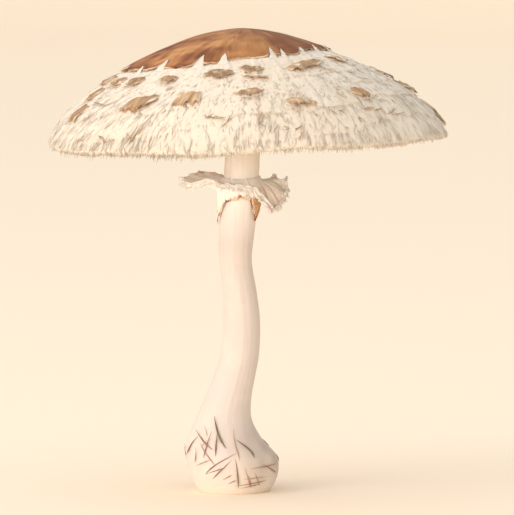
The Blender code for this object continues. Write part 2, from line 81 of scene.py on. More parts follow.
def on_curve(rows, at):
    """The other columns of a table at these places, on a smooth curve through its rows."""
    rows = np.asarray(rows, float)
    at = np.asarray(at, float)
    i = np.clip(np.searchsorted(rows[:, 0], at, side="right") - 1, 0, len(rows) - 2)
    before, low, high, after = (rows[np.clip(i + step, 0, len(rows) - 1)] for step in (-1, 0, 1, 2))
    span = (high - low)[..., :1]
    u = (at[..., None] - low[..., :1]) / span
    enter = (high - before) / np.maximum((high - before)[..., :1], 1e-6) * span
    leave = (after - low) / np.maximum((after - low)[..., :1], 1e-6) * span
    bent = (2 * u**3 - 3 * u**2 + 1) * low + (u**3 - 2 * u**2 + u) * enter
    bent = bent + (3 * u**2 - 2 * u**3) * high + (u**3 - u**2) * leave
    return bent[..., 1:]


def cloud(x, y, z, seed):
    """Smooth random values from -1 to 1, which change over about one unit of x, y or z."""
    draw = np.random.default_rng(seed)
    order = draw.permutation(256)
    values = draw.uniform(-1, 1, 256)
    places = np.broadcast_arrays(x, y, z)
    cells = [np.floor(place).astype(int) for place in places]
    parts = [place - cell for place, cell in zip(places, cells)]
    parts = [part * part * (3 - 2 * part) for part in parts]
    total = 0
    for corner in np.ndindex(2, 2, 2):
        index, weight = 0, 1.0
        for cell, part, side in zip(cells, parts, corner):
            index = order[(index + cell + side) & 255]
            weight = weight * (part if side else 1 - part)
        total = total + weight * values[index]
    return total


def streaks(angle, along, around, seed):
    """Random values drawn out along the fibres: around is how many change in a full turn."""
    turn = around / math.tau
    return cloud(np.cos(angle) * turn, np.sin(angle) * turn, along, seed)


def net(points, ends=True):
    """The points and faces of a closed net, with its ends filled or its last row joined to the first."""
    rows, columns = points.shape[:2]
    number = np.arange(rows * columns).reshape(rows, columns)
    number = np.hstack([number, number[:, :1]])
    if not ends:
        number = np.vstack([number, number[:1]])
    corners = (number[:-1, :-1], number[:-1, 1:], number[1:, 1:], number[1:, :-1])
    faces = np.stack(corners, -1).reshape(-1, 4).tolist()
    if ends:
        faces += [number[0, :-1][::-1].tolist(), number[-1, :-1].tolist()]
    return points.reshape(-1, 3), faces


def make_piece(name, shape, material, marks=None, within=None):
    """A piece from points in millimetres and their faces. Its material reads the marks on its points."""
    points, faces = shape
    mesh = bpy.data.meshes.new(name)
    mesh.from_pydata((points * MM).tolist(), [], faces)
    for mark, values in (marks or {}).items():
        layer = mesh.attributes.new(mark, "FLOAT", "POINT")
        layer.data.foreach_set("value", np.asarray(values, np.float32).reshape(-1))
    if within is not None:
        mesh.transform(within)
    work = bmesh.new()
    work.from_mesh(mesh)
    bmesh.ops.recalc_face_normals(work, faces=work.faces)
    work.to_mesh(mesh)
    work.free()
    mesh.shade_smooth()
    mesh.materials.append(material)
    piece = bpy.data.objects.new(name, mesh)
    bpy.context.scene.collection.objects.link(piece)
    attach(piece, "root")
    return piece


def colour(code):
    """An sRGB hex colour, turned to linear."""
    parts = [int(code[i : i + 2], 16) / 255 for i in (1, 3, 5)]
    return (*(v / 12.92 if v <= 0.04045 else ((v + 0.055) / 1.055) ** 2.4 for v in parts), 1.0)


def set_inputs(tree, node, inputs):
    """Links a node's inputs to these sockets, or gives them these values."""
    for key, value in inputs.items():
        if isinstance(value, bpy.types.NodeSocket):
            tree.links.new(value, node.inputs[key])
        else:
            node.inputs[key].default_value = value


def add_node(tree, kind, inputs=None, stops=(), **settings):
    """A node with its settings, its input values or links, and the stops of a colour ramp."""
    node = tree.nodes.new(kind)
    for key, value in settings.items():
        setattr(node, key, value)
    for i, (place, shade) in enumerate(stops):
        ramp = node.color_ramp.elements
        stop = ramp[i] if i < 2 else ramp.new(place)
        stop.position = place
        stop.color = colour(shade)
    set_inputs(tree, node, inputs or {})
    return node


def new_material(name, *marks):
    """A material, its nodes, the place of each point, and the marks on the points that it reads."""
    made = bpy.data.materials.new(name)
    made.use_nodes = True
    tree = made.node_tree
    place = add_node(tree, "ShaderNodeTexCoord").outputs["Object"]
    read = [add_node(tree, "ShaderNodeAttribute", attribute_name=mark).outputs["Fac"] for mark in marks]
    return made, tree, place, *read


def finish_material(made, tint, layers, grain, strength, depth_mm, constants):
    """Lays colours over the first one, each as far as its mark or pattern says, and raises the grain."""
    tree = made.node_tree
    for amount, over in layers:
        over = over if isinstance(over, bpy.types.NodeSocket) else colour(over)
        tint = add_node(tree, "ShaderNodeMix", {0: amount, 6: tint, 7: over}, data_type="RGBA").outputs[2]
    bumps = {"Height": grain, "Strength": strength, "Distance": depth_mm * MM}
    relief = add_node(tree, "ShaderNodeBump", bumps)
    surface = {"Base Color": tint, "Normal": relief.outputs["Normal"], **constants}
    set_inputs(tree, tree.nodes["Principled BSDF"], surface)


def degrees_off(angle, middle):
    """How far each angle is from the middle one, in degrees from -180 to 180."""
    return (np.degrees(angle) - middle + 180) % 360 - 180


def near_angle(angle, middle, half_width):
    """One at the middle angle, falling off on either side. The middle and the half-width are in degrees."""
    return np.exp(-((degrees_off(angle, middle) / half_width) ** 2))


def round_axis(axis, out, angle, height):
    """Points this far out from the stem's axis."""
    x = axis[..., 0] + out * np.cos(angle)
    y = axis[..., 1] + out * np.sin(angle)
    return np.stack([x, y, height + 0 * out], -1)


def stem_surface(height, angle, lift=0.0):
    """Points on the skin of the stem, in millimetres."""
    at = on_curve(STEM_STATIONS, height)
    bulb = np.exp(-(((height - 11) / 12) ** 2))
    share = 1 + 0.012 * np.cos(2 * angle + 0.7)
    share = share + bulb * (0.030 * np.cos(3 * angle + 0.4) + 0.018 * np.cos(5 * angle))
    out = at[..., 2] * share + lift
    return round_axis(at, out, angle, height)


# Mushroom skin: long pale hyphae laid side by side, which shine a little along the stem like silk.
# It is slightly see-through, so light softens the edge of its shade.
PATCH_MM = 14
FIBRIL_MM = 0.7
stem_skin, tree, place, height_mark, cut_mark, bulb_shadow_mark = new_material(
    "silky_stem_skin", "height", "cut", "painted_shadow"
)
soft_patches = add_node(
    tree,
    "ShaderNodeTexNoise",
    {"Vector": place, "Scale": 1 / (PATCH_MM * MM), "Detail": 4.0, "Roughness": 0.6},
)
drawn_out = add_node(tree, "ShaderNodeMapping", {"Vector": place, "Scale": (1.0, 1.0, 0.05)})
fibrils = add_node(
    tree,
    "ShaderNodeTexNoise",
    {"Vector": drawn_out.outputs["Vector"], "Scale": 1 / (FIBRIL_MM * MM), "Detail": 5.0, "Roughness": 0.62},
)
# Painted light: from about the ring up (0.74 and 1.0) the stops are much paler than the stem below, against
# the shadow of the cap.
STEM_TONES_WITH_PAINTED_LIGHT = ((0.07, "#DACABC"), (0.2, "#D6C7BB"), (0.62, "#D9CBC0"), (0.74, "#F6ECE1"))
by_height = add_node(
    tree,
    "ShaderNodeValToRGB",
    {"Fac": height_mark},
    stops=((0.0, "#EADDCD"), (1.0, "#FBF2E8"), *STEM_TONES_WITH_PAINTED_LIGHT),
)
line_tone = add_node(
    tree,
    "ShaderNodeMapRange",
    {"Value": fibrils.outputs["Fac"], "From Min": 0.36, "From Max": 0.56, "To Min": 0.16, "To Max": 0.0},
)
patch_tone = add_node(
    tree,
    "ShaderNodeMapRange",
    {"Value": soft_patches.outputs["Fac"], "From Min": 0.5, "From Max": 0.75, "To Min": 0.0, "To Max": 0.5},
)
cut_colour = add_node(
    tree,
    "ShaderNodeValToRGB",
    {"Fac": cut_mark},
    stops=((0.0, "#D9B58C"), (1.0, "#E9CFA8"), (0.12, "#F0DDBE"), (0.72, "#F4E4C9"), (0.8, "#D8B78D")),
)
is_cut = add_node(tree, "ShaderNodeMath", {0: cut_mark, 1: 0.001}, operation="GREATER_THAN")
finish_material(
    stem_skin,
    by_height.outputs["Color"],
    (
        (line_tone.outputs["Result"], "#CDBDA4"),
        (patch_tone.outputs["Result"], "#EBD9BF"),
        # Painted shadow: grey-brown shade laid on the right side of the bulb.
        (bulb_shadow_mark, "#A48D74"),
        (is_cut.outputs["Value"], cut_colour.outputs["Color"]),
    ),
    fibrils.outputs["Fac"],
    0.2,
    0.15,
    {
        "Roughness": 0.58,
        "IOR": 1.4,
        "Subsurface Weight": 0.12,
        "Subsurface Radius": (1.0, 0.95, 0.85),
        "Subsurface Scale": 1.5 * MM,
        "Sheen Weight": 0.12,
    },
)

step = np.linspace(0, 1, STEM_RINGS)[:, None]
height = STEM_TOP * step**1.12
angle = np.linspace(0, math.tau, STEM_SIDES, endpoint=False)[None, :]
height, angle = np.broadcast_arrays(height, angle)
bulb = np.exp(-(((height - 11) / 14) ** 2))
ridges = 0.09 * streaks(angle, height / 17, 46, 1) + 0.035 * streaks(angle, height / 9, 120, 2)
dents = 0.42 * cloud(np.cos(angle) * 2.4, np.sin(angle) * 2.4, height / 6.5, 3) * bulb
ridges = ridges * np.clip(height / 3, 0, 1)
skin = stem_surface(height, angle, ridges + dents * np.clip(height / 4, 0, 1))
# The plug in the cap's flesh, which nothing shows. It leans with the cap.
RIM_CENTRE = (5.0, 0.0, 128.2)
CAP_LEAN = -1.15
TIP_ROWS = ((9.0, 5.6), (3.4, 5.5), (0.7, STEM_TIP_RADIUS), (0.0, STEM_TIP_RADIUS - 0.9), (0.0, 0.05))
lean = math.radians(CAP_LEAN)
leant = np.array([math.sin(lean), 0, math.cos(lean)])
tip_rows = []
for below, radius in TIP_ROWS:
    centre = np.array(RIM_CENTRE) + (STEM_TIP - RIM_CENTRE[2] - below) * leant
    ring_of = np.stack([np.cos(angle[0]), np.sin(angle[0]), 0 * angle[0]], -1) * radius
    tip_rows.append(centre + ring_of)
# The cut face, from its edge to the middle, a little hollow where the fibres pulled.
cut_rows = []
cut_marks = []
for k in range(CUT_RINGS):
    share = 1 - (k + 1) / (CUT_RINGS + 0.2)
    row = stem_surface(np.zeros(STEM_SIDES), angle[0]) * [share, share, 1]
    pits = 0.12 * (1 + cloud(row[:, 0] / 1.6, row[:, 1] / 1.6, 0.0, 4))
    row[:, 2] = 0.25 * (1 - share) + pits * min(1, 6 * (1 - share))
    cut_rows.append(row)
    cut_marks.append(np.full(STEM_SIDES, 1 - share))
stem_points = np.concatenate([np.array(cut_rows[::-1]), skin, np.array(tip_rows)])
stem_height = np.clip(stem_points[..., 2] / STEM_TOP, 0, 1)
stem_cut = np.concatenate([np.array(cut_marks[::-1]), np.zeros((len(skin) + len(tip_rows), STEM_SIDES))])
x, y, z = (stem_points[..., k] for k in range(3))
# A painted shadow on the right side of the bulb, patchy, fading above and below 13 mm high.
right_bulb_shadow = near_angle(angle[0], 338, 42) * np.exp(-(((z - 13) / 10) ** 2))
right_bulb_shadow = right_bulb_shadow * (0.55 + 0.3 * cloud(x / 4, y / 4, z / 6, 5))
stem_marks = {"height": stem_height, "cut": stem_cut, "painted_shadow": np.clip(right_bulb_shadow, 0, 1)}
stem_piece = make_piece("stem_stalk", net(stem_points), stem_skin, stem_marks)
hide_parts("stem")

# The litter: dead needles and straws of the forest floor that the bulb grew up through and that stuck to it.
# They are dry and brittle, red-brown with a thin waxy skin, and lie every way, some with an end in the air.
NEEDLE_SIDES = 6
NEEDLE_RINGS = 9
NEEDLE_RADIUS = (0.15, 0.34)
# The camera that the studio sets up: its height over the level, what it looks at, and how far off it is.
PIXEL_MM = 0.36
MIDDLE_PIXEL = (257.0, 257.5)
PHOTO_HEIGHT_PIXELS = 515
CAMERA_ELEVATION = math.radians(4.3)
VIEW_CENTRE_MM = (8.5, 0.0, 84.4)
CAMERA_LENS_MM = 450.0
CAMERA_SENSOR_MM = 36.0
CAMERA_DISTANCE_MM = CAMERA_LENS_MM / CAMERA_SENSOR_MM * PHOTO_HEIGHT_PIXELS * PIXEL_MM
# The needles that show in the photograph: both ends in its pixels, half-width, tint and bow.
SEEN_NEEDLES = (
    (215.6, 416, 225.7, 448, 0.44, 0.0, 0.0),
    (218.6, 429, 216.0, 456, 0.26, 0.3, 0.02),
    (198.6, 429, 213.0, 450, 0.28, 0.45, 0.0),
    (213.0, 431, 204.0, 458, 0.22, 0.5, 0.0),
    (198.0, 436, 188.5, 455, 0.3, 0.4, -0.04),
    (198.6, 447, 195.5, 463, 0.2, 0.6, 0.0),
    (200.6, 443, 215.0, 465, 0.22, 0.75, 0.0),
    (235.7, 453, 206.0, 474, 0.24, 0.35, -0.09),
    (231.7, 460, 213.0, 479, 0.22, 0.3, 0.0),
    (235.0, 459, 238.0, 489, 0.3, 0.1, 0.0),
    (233.0, 428, 240.0, 462, 0.22, 0.8, 0.0),
    (236.0, 440, 253.8, 458, 0.4, 0.05, 0.1),
    (259.0, 463, 276.0, 473, 0.2, 0.4, 0.0),
    (247.0, 469, 276.0, 463, 0.2, 0.7, 0.0),
    (270.0, 476, 242.0, 479, 0.16, 0.85, 0.0),
    (244.0, 467, 250.0, 488, 0.18, 0.8, 0.0),
    (253.0, 472, 259.0, 486, 0.16, 0.6, 0.0),
    (206.0, 474, 223.0, 468, 0.18, 0.3, 0.0),
    (196.5, 466, 210.0, 460, 0.18, 0.6, 0.0),
    (206.0, 425, 207.6, 437, 0.15, 1.0, 0.0),
    (234.0, 486, 266.0, 480, 0.16, 0.55, 0.0),
    (223.0, 480, 232.0, 475, 0.16, 0.5, 0.0),
    (228.0, 484, 236.0, 480, 0.16, 0.3, 0.0),
    (248.0, 475, 251.0, 488, 0.15, 0.7, 0.0),
    (240.0, 488, 259.0, 484, 0.15, 0.6, 0.0),
    (209.0, 440, 201.0, 447, 0.15, 0.9, 0.0),
)
HIDDEN_NEEDLES = 46

# Dead conifer needles: a hard waxy rind gone red-brown, paler where it is worn, with a slight gloss.
dead_needle, tree, place, tint_mark = new_material("dry_dead_needle", "tint")
WORN_MM = 1.6
worn = add_node(tree, "ShaderNodeTexNoise", {"Vector": place, "Scale": 1 / (WORN_MM * MM), "Detail": 4.0})
needle_tint = add_node(
    tree,
    "ShaderNodeValToRGB",
    {"Fac": tint_mark},
    stops=((0.0, "#6E614A"), (1.0, "#C9B292"), (0.3, "#7C5440"), (0.55, "#94664B"), (0.8, "#B28A66")),
)
worn_tone = add_node(
    tree,
    "ShaderNodeMapRange",
    {"Value": worn.outputs["Fac"], "From Min": 0.5, "From Max": 0.72, "To Min": 0.0, "To Max": 0.5},
)
layers = ((worn_tone.outputs["Result"], "#B89876"),)
finish_material(
    dead_needle, needle_tint.outputs["Color"], layers, worn.outputs["Fac"], 0.4, 0.1, {"Roughness": 0.5}
)


def loft(rings):
    """Closed skins through many rows of like rings at once: pieces, stations, points round each ring."""
    count, stations, sides = rings.shape[:3]
    each = net(rings[0])[1][:-2]
    for j in range((sides - 1) // 2):
        cap = [j, j + 1, sides - 2 - j, sides - 1 - j]
        cap = list(dict.fromkeys(cap))
        each.append(cap[::-1])
        each.append([(stations - 1) * sides + corner for corner in cap])
    step = stations * sides
    faces = [[first + corner for corner in face] for first in range(0, count * step, step) for face in each]
    return rings.reshape(-1, 3), faces


def tubes(paths, radii, sides, out, flat=1.0):
    """Closed tubes round many paths at once. Out is the way that each path's upper side faces."""
    along = np.gradient(paths, axis=1)
    along /= np.linalg.norm(along, axis=-1, keepdims=True)
    across = np.cross(along, out)
    across /= np.linalg.norm(across, axis=-1, keepdims=True)
    up = np.cross(across, along)
    turn = np.linspace(0, math.tau, sides, endpoint=False)[:, None]
    spread = np.cos(turn) * flat * up[:, :, None] + np.sin(turn) * across[:, :, None]
    return loft(paths[:, :, None] + radii[:, :, None, None] * spread)


def shown_at(points, x, y):
    """Which of these points, in millimetres, shows nearest to a pixel of the photograph."""
    off = points - np.array(VIEW_CENTRE_MM)
    rise, fall = math.cos(CAMERA_ELEVATION), math.sin(CAMERA_ELEVATION)
    scale = CAMERA_DISTANCE_MM / (CAMERA_DISTANCE_MM + rise * off[..., 1] - fall * off[..., 2]) / PIXEL_MM
    miss_x = MIDDLE_PIXEL[0] + off[..., 0] * scale - x
    miss_y = MIDDLE_PIXEL[1] - (rise * off[..., 2] + fall * off[..., 1]) * scale - y
    return np.unravel_index(np.argmin(miss_x**2 + miss_y**2), miss_x.shape)


draw = np.random.default_rng(21)
ends = []
bulb_grid = (np.linspace(1.2, 40, 195), np.radians(np.linspace(-176, -4, 173)))
bulb_height, bulb_angle = np.meshgrid(*bulb_grid, indexing="ij")
bulb_points = stem_surface(bulb_height, bulb_angle)
for x0, y0, x1, y1, *_ in SEEN_NEEDLES:
    both = (shown_at(bulb_points, x0, y0), shown_at(bulb_points, x1, y1))
    ends.append([(bulb_angle[place], bulb_height[place]) for place in both])
for i in range(HIDDEN_NEEDLES):
    around = math.radians(16 + 148 * (i + draw.uniform(-0.4, 0.4)) / HIDDEN_NEEDLES)
    middle = draw.uniform(5, 19)
    length = draw.uniform(7, 13)
    lean = draw.uniform(-1.25, 1.25)
    rise, turn = 0.5 * length * math.cos(lean), 0.5 * length * math.sin(lean) / 15
    ends.append([(around - turn, min(middle + rise, 25)), (around + turn, max(middle - rise, 1.2))])
ends = np.array(ends)
t = np.linspace(0, 1, NEEDLE_RINGS)[None, :]
count = len(ends)
seen = np.array([row[4:] for row in SEEN_NEEDLES])
hidden = count - len(seen)
half_width = np.append(seen[:, 0], draw.uniform(*NEEDLE_RADIUS, hidden))[:, None]
bow = np.append(seen[:, 2], draw.uniform(-0.06, 0.06, hidden))[:, None] * np.sin(math.pi * t)
around = ends[:, :1, 0] * (1 - t) + ends[:, 1:, 0] * t + bow
height = ends[:, :1, 1] * (1 - t) + ends[:, 1:, 1] * t
thick = half_width * np.interp(t, (0, 0.3, 0.75, 1), (0.15, 0.6, 1, 0.15))
# Most lie flat on the skin. The upper or lower end of some stands away from it.
free_top = draw.choice([0.0, 0.0, 0.8, 1.4], (count, 1)) * draw.uniform(0.6, 1, (count, 1))
free_foot = draw.choice([0.0, 0.0, 0.8], (count, 1)) * draw.uniform(0.6, 1, (count, 1))
lift = 0.28 + free_top * np.clip(1 - 1.5 * t, 0, 1) ** 2 + free_foot * np.clip(1.5 * t - 0.5, 0, 1) ** 2
lift = lift + 0.3 * draw.uniform(0, 1, (count, 1)) * np.sin(math.pi * t)
paths = stem_surface(height, around, lift)
paths[..., 2] = np.maximum(paths[..., 2], 0.5)
out = np.stack([np.cos(around), np.sin(around), 0 * around], -1)
tint = np.repeat(np.append(seen[:, 1], draw.uniform(0, 1, hidden)), NEEDLE_RINGS * NEEDLE_SIDES)
needles = tubes(paths, thick, NEEDLE_SIDES, out)
make_piece("bulb_litter_needles", needles, dead_needle, {"tint": tint})

# The ring: the torn remains of the veil, a thick felt of soft fibres with a double edge and a cuff below it.
# It grew joined to the cap's rim, tore free as the cap opened, and now slides on the stem.
RING_SIDES = 420
RING_STATIONS = 52
RING_HEIGHT = 111.6
RING_COLLAR = 6.7
STEM_RADIUS_IN_RING = 6.3
# Angle, reach from the stem's axis, height of the edge over the ring's middle, and depth of the cuff.
RING_LOBES = (
    (0, 17.2, -3.6, 6.0),
    (10, 17.0, -2.8, 5.6),
    (20, 17.6, -0.1, 5.4),
    (31, 16.6, -2.6, 5.2),
    (43, 16.8, 0.6, 5.0),
    (53, 15.2, -2.0, 5.0),
    (64, 14.2, -1.4, 5.0),
    (95, 16.0, -0.8, 5.6),
    (130, 17.8, 1.8, 5.2),
    (155, 20.3, 0.8, 6.6),
    (180, 22.4, 0.1, 9.0),
    (200, 19.6, -0.9, 7.6),
    (218, 14.8, 1.0, 6.2),
    (236, 12.6, -0.6, 5.4),
    (270, 11.6, -1.2, 5.2),
    (296, 12.6, -2.8, 5.4),
    (308, 14.2, -5.4, 6.6),
    (321, 16.0, -9.2, 8.0),
    (333, 16.4, -8.2, 8.0),
    (346, 17.4, -4.6, 7.0),
    (360, 17.2, -3.6, 6.0),
)
# The cuff's long torn straps: angle of the tip, length, and half-widths in degrees on its two sides.
STRAPS = (
    (190, 6.2, 9, 26),
    (326, 5.4, 17, 12),
)
# Where the felt is folded and shows pink: angle and half-width in degrees.
PINK_FOLDS = ((138, 16), (326, 13))

# Felted fibres that dry cream, go pinkish where they are bruised in a fold, and brown where they tore.
ring_felt, tree, place, brown_mark, pink_mark = new_material("felted_ring_tissue", "brown", "pink")
FELT_MM = 0.8
felt = add_node(
    tree,
    "ShaderNodeTexNoise",
    {"Vector": place, "Scale": 1 / (FELT_MM * MM), "Detail": 6.0, "Roughness": 0.7},
)
felt_colour = add_node(
    tree,
    "ShaderNodeValToRGB",
    {"Fac": felt.outputs["Fac"]},
    stops=((0.3, "#EFE2CF"), (0.66, "#FDF8EF"), (0.42, "#F7EEE0"), (0.55, "#FBF4E9")),
)
finish_material(
    ring_felt,
    felt_colour.outputs["Color"],
    ((pink_mark, "#DBAA92"), (brown_mark, "#7A4322")),
    felt.outputs["Fac"],
    0.8,
    0.4,
    {
        "Roughness": 0.9,
        "IOR": 1.35,
        "Sheen Weight": 1.0,
        "Sheen Roughness": 0.4,
        "Subsurface Weight": 0.3,
        "Subsurface Radius": (1.0, 0.92, 0.84),
        "Subsurface Scale": 1.3 * MM,
    },
)


def ring_edges(angle):
    """The flange's reach, the height of its edge and the depth of the cuff, all torn uneven."""
    lobes = on_curve(RING_LOBES, np.degrees(angle) % 360)
    reach = lobes[..., 0] + 0.6 * streaks(angle, 0.0, 44, 31) + 0.5 * streaks(angle, 4.0, 120, 32)
    edge = lobes[..., 1] + 0.35 * streaks(angle, 0.0, 34, 33) + 0.25 * streaks(angle, 0.0, 90, 34)
    cuff = lobes[..., 2] + 0.8 * streaks(angle, 0.0, 34, 35) + 0.5 * streaks(angle, 0.0, 95, 36)
    for middle, length, before, after in STRAPS:
        off = degrees_off(angle, middle)
        cuff = cuff + length * np.clip(1 - np.abs(off) / np.where(off < 0, before, after) / 1.6, 0, 1) ** 1.3
    return reach, edge, cuff


angle = np.linspace(0, math.tau, RING_SIDES, endpoint=False)
reach, edge, cuff = ring_edges(angle)
half_way = RING_COLLAR + 0.5 * (reach - RING_COLLAR)
gape = 0.9 + 0.35 * streaks(angle, 0.0, 26, 37) + 0.5 * near_angle(angle, 184, 26)
lip = 0.5 * streaks(angle, 0.0, 60, 38)
bore = RING_COLLAR - 0.12 + 0 * angle
# The section, over the flange, round its double edge, in below it, and down and up the cuff.
section = (
    (bore, 1.0),
    (bore + 0.45, 1.5 + 0.35 * streaks(angle, 0.0, 50, 39)),
    (bore + 1.6, 0.9),
    (half_way, 0.35 * edge + 0.7),
    (reach - 1.6, edge + 0.75 * gape),
    (reach + 0.2, edge + gape),
    (reach - 0.1, edge + gape - 0.45),
    (reach - 1.7, edge - 0.05),
    (reach - 0.4 + lip, edge - gape * 0.85),
    (reach - 0.5 + lip, edge - gape * 1.15),
    (reach - 2.2, edge - gape * 0.95),
    (half_way, 0.35 * edge - 1.3),
    (bore + 2.1, -2.6),
    (bore + 1.15, -0.5 * cuff - 1.4),
    (bore + 0.85, -cuff + 0.25),
    (bore + 0.55, -cuff - 0.1),
    (bore + 0.1, -cuff + 0.3),
    (bore, -0.5 * cuff),
)
rows = [np.stack([out + 0 * angle, up + 0 * angle], -1) for out, up in section]
table = np.stack([np.append(rows, rows[:1], 0)[..., 0], np.append(rows, rows[:1], 0)[..., 1]], -1)
stage_of = np.linspace(0, len(section), RING_STATIONS, endpoint=False)
low = stage_of.astype(int)
u = (stage_of - low)[:, None, None]
before, here, there, after = (table[(low + k) % len(section)] for k in (-1, 0, 1, 2))
curve = 0.5 * (
    2 * here + (there - before) * u + (2 * before - 5 * here + 4 * there - after) * u**2
    + (3 * here - before - 3 * there + after) * u**3
)
out, up = curve[..., 0], curve[..., 1]
spread = np.clip((out - RING_COLLAR - 0.6) / 3.0, 0, 1)
side = np.sign(np.cos(np.pi * np.clip(stage_of / 7.5, 0, 2)))[:, None]
ribs = 0.34 * streaks(angle, out / 5, 44, 40) + 0.24 * streaks(angle, out / 3, 110, 41)
up = up + spread * ribs * side
on_cuff = np.clip((-up - 2.2) / 1.5, 0, 1)
folds = 0.9 * streaks(angle, up / 5, 40, 42) + 0.4 * streaks(angle, up / 2, 100, 43)
out = out + on_cuff * np.clip(out - bore, 0, 0.5) * folds
axis = on_curve(STEM_STATIONS, RING_HEIGHT + up)
grown = axis[..., 2] * (1 + 0.012 * np.cos(2 * angle + 0.7)) - STEM_RADIUS_IN_RING
out = out + grown * np.clip(1 - spread, 0, 1)
ring_points = round_axis(axis, out, angle, RING_HEIGHT + up)
cuff_end = np.clip(1 - (cuff + up) / 1.6, 0, 1) * (up < -2)
edge_place = np.clip((out - reach + 0.9) / 0.9, 0, 1) * spread
brown = 0.5 * cuff_end * np.clip(0.4 + streaks(angle, 0.0, 50, 44), 0, 1)
low_on_cuff = np.clip((-up - 3.2) / 2.5, 0, 1) * (out < RING_COLLAR + 3)
brown_strap = near_angle(angle, 325, 19) * np.clip(0.5 + 0.9 * streaks(angle, up / 9, 120, 48), 0.05, 0.85)
brown = np.maximum(brown, brown_strap * low_on_cuff)
brown = np.maximum(brown, edge_place * np.clip(0.5 * streaks(angle, 0.0, 60, 45) - 0.05, 0, 0.3))
pink = sum(near_angle(angle, middle, half) for middle, half in PINK_FOLDS) * spread
pink = np.clip(pink * (0.6 + 0.9 * streaks(angle, out / 5, 130, 46)), 0, 0.85)
ring_shape = net(ring_points, ends=False)
ring_piece = make_piece("ring_collar", ring_shape, ring_felt, {"brown": brown, "pink": pink})
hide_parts("ring")

# The ring's fuzz: the loose ends of its fibres along both torn edges and the cuff, soft and curled.
# They are the same felt, pulled out as the veil tore.
RING_FUZZ = 900
FUZZ_STATIONS = 5
FUZZ_SIDES = 4
FUZZ_POINTS = FUZZ_STATIONS * FUZZ_SIDES
draw = np.random.default_rng(47)
around = draw.uniform(0, math.tau, RING_FUZZ)
reach, edge, cuff = ring_edges(around)
kind = draw.choice([0, 0, 1, 2], RING_FUZZ)  # the upper lip, the lower lip and the cuff
t = np.linspace(0, 1, FUZZ_STATIONS)[None, :]
long = draw.uniform(0.5, 1.5, RING_FUZZ)[:, None]
drop = draw.uniform(-0.5, 0.9, RING_FUZZ)[:, None]
kind, reach, edge, cuff, turn = (value[:, None] for value in (kind, reach, edge, cuff, around))
out = np.where(kind == 2, RING_COLLAR + 0.45 + 0.5 * drop * t**2, reach - 0.9 + long * t)
on_upper_lip = edge + 0.75 - drop * t**1.5 * long
on_lower_lip = edge - 0.85 - (0.5 + drop) * t**1.5 * long
up = np.select([kind == 0, kind == 1], [on_upper_lip, on_lower_lip], -cuff + 0.8 - long * t)
turn = turn + draw.uniform(-0.9, 0.9, RING_FUZZ)[:, None] * t**1.4 / 14
axis = on_curve(STEM_STATIONS, RING_HEIGHT + up)
fuzz_paths = round_axis(axis, out, turn, RING_HEIGHT + up)
thick = draw.uniform(0.14, 0.3, RING_FUZZ)[:, None] * np.array([[1.0, 1.0, 0.8, 0.55, 0.15]])
outward = np.stack([0.3 * np.cos(turn), 0.3 * np.sin(turn), 1 + 0 * turn], -1)
shade = np.where(kind == 2, 0.45, 0.12) * draw.uniform(0, 1.6, RING_FUZZ)[:, None] * t
marks = {"brown": np.repeat(np.clip(shade, 0, 1), FUZZ_SIDES), "pink": np.zeros(RING_FUZZ * FUZZ_POINTS)}
fuzz = tubes(fuzz_paths, thick, FUZZ_SIDES, outward)
make_piece("ring_edge_fuzz", fuzz, ring_felt, marks)

# The cuff's torn edge: the brown scorched-looking line where it broke from the stem, of short matted fibres.
# It runs along the front of the cuff and down the inner side of its left strap, and covers the right strap.
CUFF_EDGE_FIBRES = 420
STRAP_FIBRES = 260

# Fibres of the veil gone brown where they tore and dried, from orange to nearly black, without any shine.
scorched_fibre, tree, place, brown_mark = new_material("browned_torn_fibre", "brown")
char = add_node(tree, "ShaderNodeTexNoise", {"Vector": place, "Scale": 1 / (FELT_MM * MM), "Detail": 4.0})
char_colour = add_node(
    tree,
    "ShaderNodeValToRGB",
    {"Fac": brown_mark},
    stops=((0.0, "#F1E2CC"), (1.0, "#5B3A22"), (0.2, "#E0BF98"), (0.45, "#C08B58"), (0.7, "#946038")),
)
constants = {"Roughness": 0.9, "Specular IOR Level": 0.1}
finish_material(
    scorched_fibre, char_colour.outputs["Color"], (), char.outputs["Fac"], 0.5, 0.15, constants
)

draw = np.random.default_rng(49)
on_edge = np.arange(CUFF_EDGE_FIBRES + STRAP_FIBRES) < CUFF_EDGE_FIBRES
count = len(on_edge)
everywhere = draw.uniform(0, 360, count)
front = draw.uniform(198, 338, count)
strap = draw.uniform(308, 345, count)
around = np.radians(np.select([~on_edge, np.arange(count) % 4 == 0], [strap, everywhere], front))
swing = draw.uniform(-0.07, 0.07, count)[:, None]
turn = around[:, None] + swing * (t - 0.5)
_, _, cuff = ring_edges(turn)
up = -cuff + draw.uniform(-0.15, 0.55, count)[:, None] - draw.uniform(0, 0.9, count)[:, None] * t
strap_top = draw.uniform(4.6, 11.0, count)[:, None]
up = np.where(on_edge[:, None], up, np.maximum(-strap_top - 1.8 * t, -cuff - 0.3))
out = RING_COLLAR + draw.uniform(0.35, 0.95, count)[:, None] + 0 * t
out = out + np.where(on_edge[:, None], 0.0, 0.35 + 0.1 * (cuff + up).clip(0, 4))
axis = on_curve(STEM_STATIONS, RING_HEIGHT + up)
edge_paths = round_axis(axis, out, turn, RING_HEIGHT + up)
thick = draw.uniform(0.12, 0.27, count)[:, None] * np.array([[0.5, 1.0, 1.0, 0.7, 0.2]])
outward = np.stack([np.cos(turn), np.sin(turn), 0 * turn], -1)
front = near_angle(around, 262, 80)
uneven = np.clip(0.8 + 2.2 * streaks(around, 0.0, 26, 50), 0.05, 1.8)
shade = np.clip(front * uneven * draw.uniform(0.5, 1.2, count), 0.05, 1)
shade = np.where(on_edge, shade, draw.uniform(0.05, 0.5, count))
marks = {"brown": np.repeat(shade, FUZZ_POINTS)}
torn_edge = tubes(edge_paths, thick, FUZZ_SIDES, outward)
make_piece("cuff_torn_edge", torn_edge, scorched_fibre, marks)

